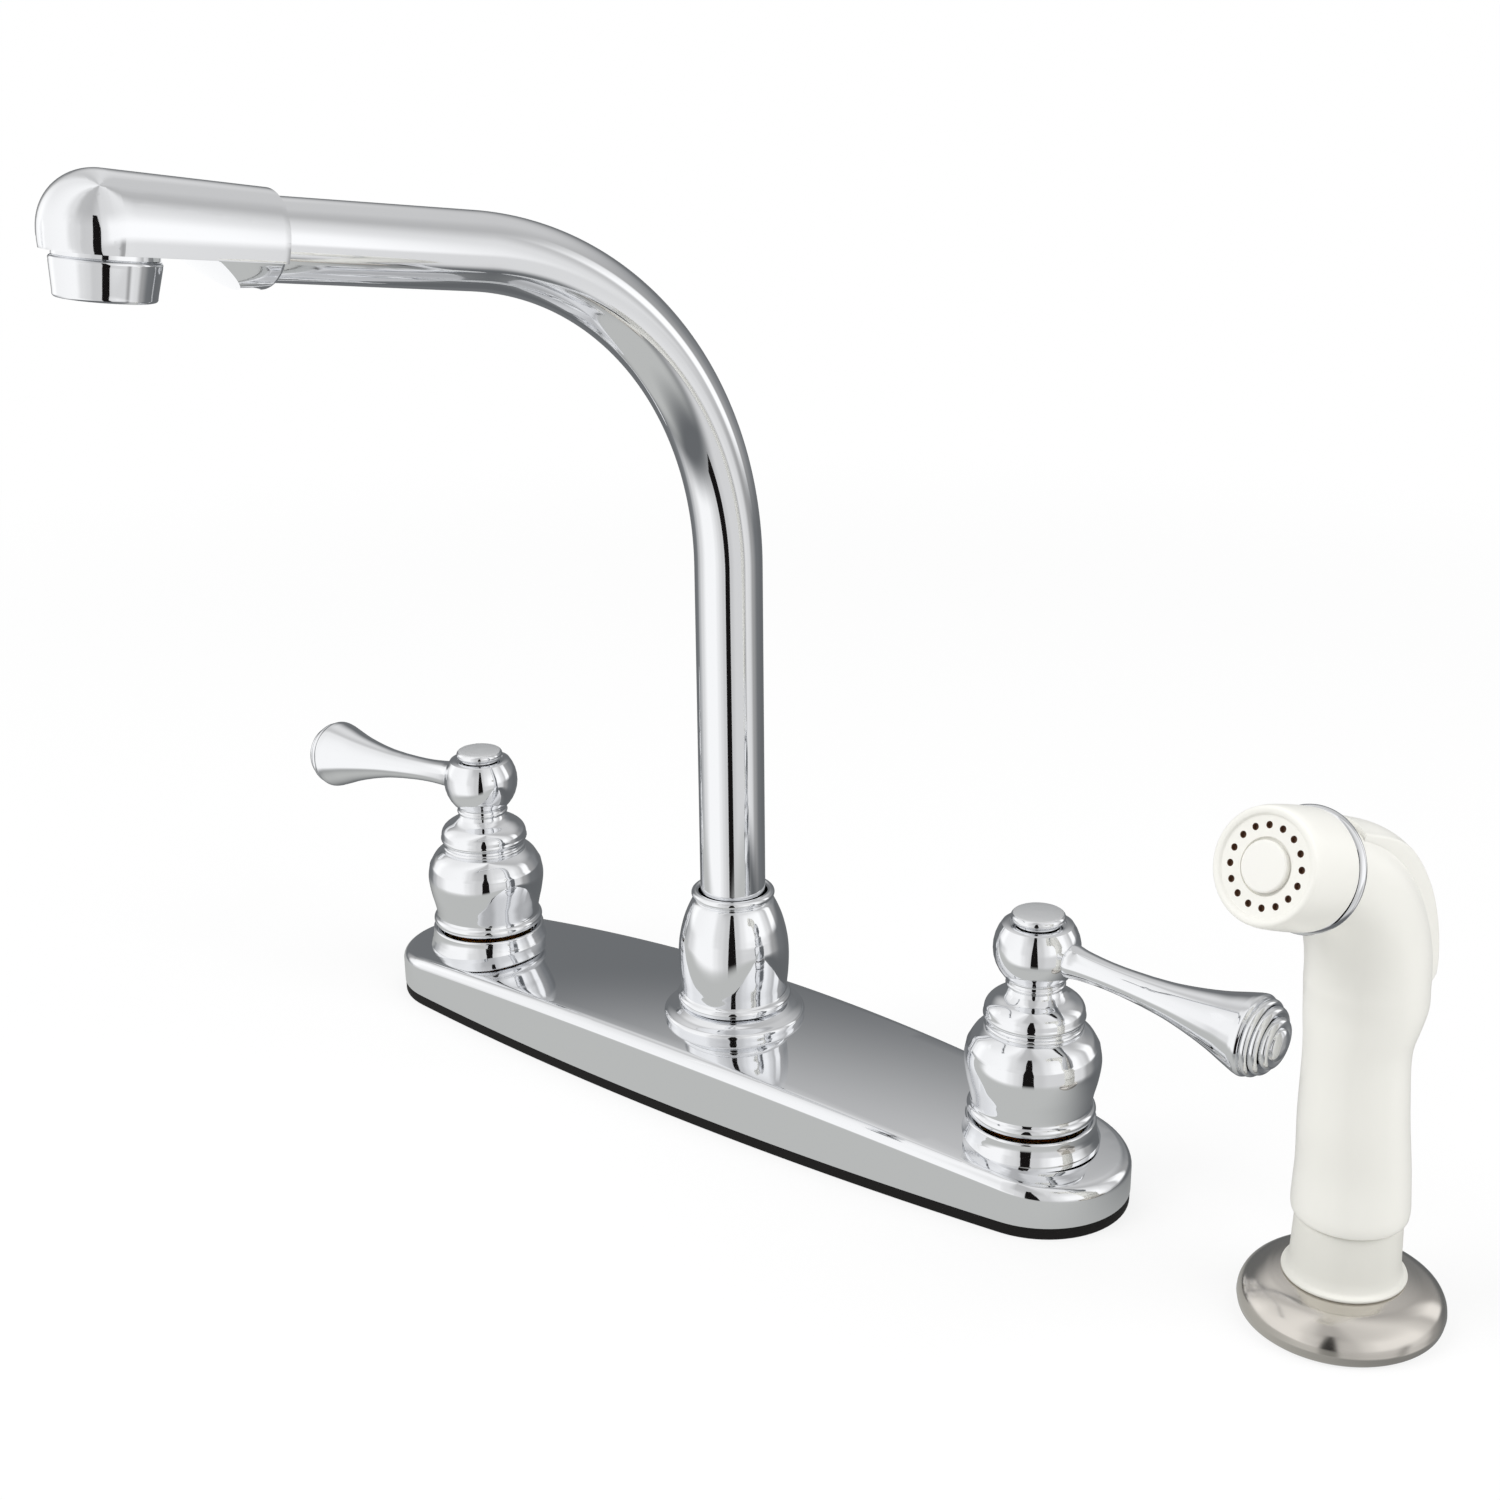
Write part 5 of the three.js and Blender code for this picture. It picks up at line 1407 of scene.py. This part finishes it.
# ---- Studio -------------------------------------------------------------------------------


class Prop:
    """A stage object, such as a backdrop or card, with a material of its own."""

    def __init__(self, name: str, dress: str) -> None:
        """Starts the material, with nothing joined to its output yet.

        Args:
            name: The object's name.
            dress: The material's name.
        """
        self.name = name
        self.material = bpy.data.materials.new(dress)
        self.material.use_nodes = True
        self.tree = self.material.node_tree
        self.tree.nodes.remove(self.tree.nodes["Principled BSDF"])

    def glow(self, light: Any, strength: float = 1.0) -> Node:
        """Adds plain light of a colour or a colour's socket."""
        return add_node(self.tree, "Emission", {"Color": light, "Strength": strength})

    def stand(self, bm: BMesh, surface: Node) -> Object:
        """Makes the object.

        Args:
            bm: Its mesh, in metres.
            surface: The node that its material ends with.

        Returns:
            The object.
        """
        end = self.tree.nodes["Material Output"].inputs["Surface"]
        self.tree.links.new(surface.outputs[0], end)
        mesh = bpy.data.meshes.new(self.name)
        bm.to_mesh(mesh)
        bm.free()
        mesh.materials.append(self.material)
        item = bpy.data.objects.new(self.name, mesh)
        bpy.context.scene.collection.objects.link(item)
        return item

    def mirrored(self, bm: BMesh, surface: Node) -> Object:
        """Makes the object and hides it from all but mirrors.

        Args:
            bm: Its mesh, in metres.
            surface: The node that its material ends with.

        Returns:
            The object.
        """
        item = self.stand(bm, surface)
        item.visible_camera = False
        item.visible_diffuse = False
        item.visible_shadow = False
        item.visible_transmission = False
        return item


@dataclass
class Studio:
    """White sweep, soft lamps, reflection cards and the camera.

    Lengths are metres here, except the camera's place, which is in millimetres. The tent's
    three bands, from low to high, are pairs of azimuth in degrees from the front and colour.
    """

    focal: float = 2204.7
    centre: Point = (752.4, 788.1)
    frame_px: float = 1500.0
    azimuth: float = 39.04
    elevation: float = 20.72
    roll: float = -0.59
    eye: Triple = (370.7, -447.8, 310.9)
    floor_half: float = 8.0
    floor_shown: str = "#FAFAFA"
    floor_mirrored: str = "#E6E6E4"
    shadow_fade: Point = (0.495, 0.9)
    shadow_share: Point = (0.8, 1.0)
    tent_strength: float = 1.18
    tent_radius: float = 1.1
    tent_middle: float = 0.1
    tent_blends: tuple[Point, ...] = ((-9.0, 1.0), (16.0, 46.0), (-30.0, -46.0))
    board_size: float = 0.3
    board_drop: float = 0.0005
    board_half: float = 0.1016
    board_fade: Point = (0.075, 0.145)
    board_slope: Point = (-0.038, 0.06)
    board_grey: str = "#B7B8B6"
    board_back: str = "#606264"
    depths: str = "#646668"
    gap_azimuth: float = 36.0
    gap_distance: float = 0.5
    gap_foot: Point = (0.17, -0.26)
    gap_head: Point = (0.062, 0.5)
    gap_grey: str = "#181616"
    card_grey: str = "#F4F4F4"
    card_half: float = 0.04
    card_place: Triple = (-0.122, -0.102, 0.208)
    card_faces: Triple = (-0.02, -0.15, 0.25)
    lamps: tuple[tuple[str, Triple, float, float], ...] = (
        ("key lamp", (-0.8, -1.1, 1.6), 1.2, 20),
        ("fill lamp", (1.3, 0.2, 1.3), 1.2, 13),
    )
    lamps_aim: Triple = (0.05, 0, 0.1)
    room_light: float = 0.53
    skirt: Stops = (
        (-180, "#646668"), (-155, "#66686A"), (-128, "#6A6C6E"), (-104, "#6A6C6E"),
        (-90, "#747678"), (-78, "#B0B1B2"), (-64, "#D4D4D4"), (-40, "#F6F6F6"),
        (-8, "#F6F6F6"), (2, "#E8E8E8"), (12, "#D8D8D8"), (22, "#C8C8C8"),
        (48, "#C4C4C4"), (62, "#D0D0D0"), (84, "#D0D0D0"), (93, "#9C9C9C"),
        (101, "#DEDEDE"), (114, "#D6D6D6"), (128, "#9A9A9A"), (150, "#6C6E70"),
        (180, "#646668"),
    )
    walls: Stops = (
        (-180, "#7C7E80"), (-160, "#6C6E70"), (-148, "#6A6C6E"), (-104, "#6C6E70"),
        (-94, "#A0A0A0"), (-84, "#F2F2F2"), (-72, "#FEFEFE"), (-58, "#F2F2F2"),
        (-10, "#F6F6F6"), (2, "#DCDCDC"), (14, "#D4D4D4"), (24, "#C6C6C6"),
        (48, "#CACACA"), (60, "#E4E4E4"), (72, "#F8F8F8"), (108, "#FCFCFC"),
        (120, "#DCDCDC"), (131, "#C0C0C0"), (137, "#FFFFFF"), (147, "#FFFFFF"),
        (153, "#9C9C9C"), (180, "#7C7E80"),
    )
    roof: Stops = (
        (-180, "#C4C4C4"), (-150, "#C4C4C4"), (-125, "#D8D8D8"), (-100, "#C4C4C4"),
        (-76, "#E6E6E6"), (-20, "#F4F4F4"), (0, "#DCDCDC"), (16, "#B8B8B8"),
        (36, "#B4B4B4"), (60, "#D6D6D6"), (110, "#E4E4E4"), (140, "#B4B4B4"),
        (180, "#C4C4C4"),
    )

    def camera(self) -> None:
        """Sets up the camera that the picture was taken with."""
        a, e, roll = (radians(v) for v in (self.azimuth, self.elevation, self.roll))
        back = Vector((sin(a) * cos(e), -cos(a) * cos(e), sin(e)))
        right = Vector((0, 0, 1)).cross(back).normalized()
        up = back.cross(right)
        x = cos(roll) * right + sin(roll) * up
        y = cos(roll) * up - sin(roll) * right
        data = bpy.data.cameras.new("product camera")
        data.sensor_width = SENSOR_MM
        data.lens = self.focal * SENSOR_MM / self.frame_px
        data.shift_x = (self.frame_px / 2 - self.centre[0]) / self.frame_px
        data.shift_y = (self.centre[1] - self.frame_px / 2) / self.frame_px
        data.clip_start = 0.01
        camera = bpy.data.objects.new("product camera", data)
        rotation = Matrix((x, y, back)).transposed().to_4x4()
        camera.matrix_world = Matrix.Translation(Vector(self.eye) * METRE) @ rotation
        bpy.context.scene.collection.objects.link(camera)
        bpy.context.scene.camera = camera

    def floor(self) -> None:
        """Large white floor at the sink deck's level, which keeps the faucet's soft shadow."""
        prop = Prop("sink deck floor", "matt white floor")
        tree = prop.tree
        seen = add_node(tree, "LightPath").outputs["Is Camera Ray"]
        place = add_node(tree, "TexCoord").outputs["Object"]
        far = add_node(tree, "VectorMath", {0: place}, operation="LENGTH").outputs["Value"]
        share = remap(tree, far, self.shadow_fade, self.shadow_share)
        tint = mix_tints(tree, seen, linear(self.floor_mirrored), linear(self.floor_shown))
        matt = add_node(tree, "BsdfDiffuse", {"Color": tint}).outputs[0]
        glow = prop.glow(linear(WHITE)).outputs[0]
        shown = maths(tree, "MULTIPLY", seen, share)
        mix = add_node(tree, "MixShader", {0: shown, 1: matt, 2: glow})
        prop.stand(square(self.floor_half), mix).visible_glossy = False

    @staticmethod
    def ramp(tree: NodeTree, value: NodeSocket, stops: Stops) -> NodeSocket:
        """Adds a smooth colour ramp for a band round the tent.

        Args:
            tree: Node tree that gets it.
            value: What it reads: the share of a full turn, from the back.
            stops: The band.

        Returns:
            The ramp's colour.
        """
        node = add_node(tree, "ValToRGB", {"Fac": value})
        node.color_ramp.interpolation = "EASE"
        points = node.color_ramp.elements
        for i, (azimuth, grey) in enumerate(stops):
            place = (azimuth + 180) / 360
            point = points[i] if i < 2 else points.new(place)
            point.position = place
            point.color = linear(grey)
        return node.outputs["Color"]

    def tent(self) -> None:
        """Light tent all round, with brighter and darker walls, which only mirrors see."""
        prop = Prop("light tent", "light tent")
        tree = prop.tree
        place = add_node(tree, "TexCoord").outputs["Object"]
        way = add_node(tree, "VectorMath", {0: place}, operation="NORMALIZE").outputs["Vector"]
        axis = add_node(tree, "SeparateXYZ", {0: way}).outputs
        azimuth = maths(tree, "ARCTAN2", axis["X"], maths(tree, "MULTIPLY", axis["Y"], -1.0))
        turned = remap(tree, azimuth, (-pi, pi), curve="LINEAR")
        bands = (self.skirt, self.walls, self.roof)
        light, *rest = (self.ramp(tree, turned, band) for band in bands)
        for (low, high), other in zip(self.tent_blends, [*rest, linear(self.depths)], strict=True):
            share = remap(tree, axis["Z"], (sin(radians(low)), sin(radians(high))))
            light = mix_tints(tree, share, light, other)
        bm = bmesh.new()
        bmesh.ops.create_uvsphere(bm, u_segments=64, v_segments=32, radius=self.tent_radius)
        bmesh.ops.reverse_faces(bm, faces=bm.faces)
        tent = prop.mirrored(bm, prop.glow(light, self.tent_strength))
        tent.location.z = self.tent_middle

    def lens_gap(self) -> None:
        """The dark gap in front, narrower at its top, that the camera looks through."""
        prop = Prop("lens gap", "unlit gap")
        a = radians(self.gap_azimuth)
        middle = Vector((sin(a), -cos(a), 0)) * self.gap_distance
        across = Vector((cos(a), sin(a), 0)) / 2
        bm = bmesh.new()
        corners = [
            bm.verts.new(middle + across * side * width + Vector((0, 0, height)))
            for width, height in (self.gap_foot, self.gap_head)
            for side in (-1, 1)
        ]
        bmesh.ops.contextual_create(bm, geom=corners)
        prop.mirrored(bm, prop.glow(linear(self.gap_grey)))

    def small_card(self) -> None:
        """Small lit card left of the spout, which brightens the slanted face under its head."""
        prop = Prop("small lit card", "small lit card")
        glow = prop.glow(linear(self.card_grey), self.tent_strength)
        card = prop.mirrored(square(self.card_half), glow)
        place, towards = Vector(self.card_place), Vector(self.card_faces)
        card.location = place
        card.rotation_euler = (towards - place).to_track_quat("Z", "Y").to_euler()

    def board(self) -> None:
        """Long round-ended grey board under the faucet, which only mirrors see."""
        prop = Prop("grey board", "grey board")
        tree = prop.tree
        place = add_node(tree, "TexCoord").outputs["Object"]
        axis = add_node(tree, "SeparateXYZ", {0: place}).outputs
        past = maths(tree, "SUBTRACT", maths(tree, "ABSOLUTE", axis["X"]), self.board_half)
        beyond = maths(tree, "MAXIMUM", past, 0.0)
        leg = add_node(tree, "CombineXYZ", {"X": beyond, "Y": axis["Y"]}).outputs["Vector"]
        far = add_node(tree, "VectorMath", {0: leg}, operation="LENGTH").outputs["Value"]
        behind = remap(tree, axis["Y"], self.board_slope)
        grey = mix_tints(tree, behind, linear(self.board_grey), linear(self.board_back))
        glow = prop.glow(grey, self.tent_strength).outputs[0]
        clear = add_node(tree, "BsdfTransparent").outputs[0]
        ends = {0: remap(tree, far, self.board_fade), 1: glow, 2: clear}
        bm = moved(square(self.board_size), Matrix.Translation((0, 0, -self.board_drop)))
        prop.mirrored(bm, add_node(tree, "MixShader", ends))

    def lamp(self, name: str, place: Triple, size: float, power: float) -> None:
        """Soft square lamp aimed at the faucet's middle.

        Args:
            name: The lamp's name.
            place: Where it stands, in metres.
            size: Its width in metres.
            power: Its power in watts.
        """
        data = bpy.data.lights.new(name, "AREA")
        data.shape = "SQUARE"
        data.size = size
        data.energy = power
        lamp = bpy.data.objects.new(name, data)
        lamp.location = place
        aim = Vector(self.lamps_aim) - Vector(place)
        lamp.rotation_euler = aim.to_track_quat("-Z", "Y").to_euler()
        lamp.visible_glossy = False
        bpy.context.scene.collection.objects.link(lamp)

    def world(self) -> None:
        """Even pale surroundings, white where the camera looks straight at them."""
        world = bpy.data.worlds.new("white room")
        world.use_nodes = True
        tree = world.node_tree
        seen = add_node(tree, "LightPath").outputs["Is Camera Ray"]
        strength = remap(tree, seen, (0.0, 1.0), (self.room_light, 1.0), "LINEAR")
        sky = tree.nodes["Background"]
        sky.inputs["Color"].default_value = linear(WHITE)
        tree.links.new(strength, sky.inputs["Strength"])
        bpy.context.scene.world = world

    def build(self) -> None:
        """Sets up the whole studio."""
        self.camera()
        self.floor()
        self.world()
        self.tent()
        self.lens_gap()
        self.small_card()
        self.board()
        for row in self.lamps:
            self.lamp(*row)
        bpy.context.scene.view_settings.view_transform = "Standard"


def main() -> None:
    """Builds the faucet's looks and the studio round it."""
    logging.basicConfig(level=logging.INFO, format="%(message)s")
    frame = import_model()
    plate = DeckPlate()
    plate.build()
    for side in Side:
        Handle(side, plate).build()
    Spout().build()
    SideSpray().build()
    HiddenParts().dress(frame)
    Studio().build()


if __name__ == "__main__":
    main()
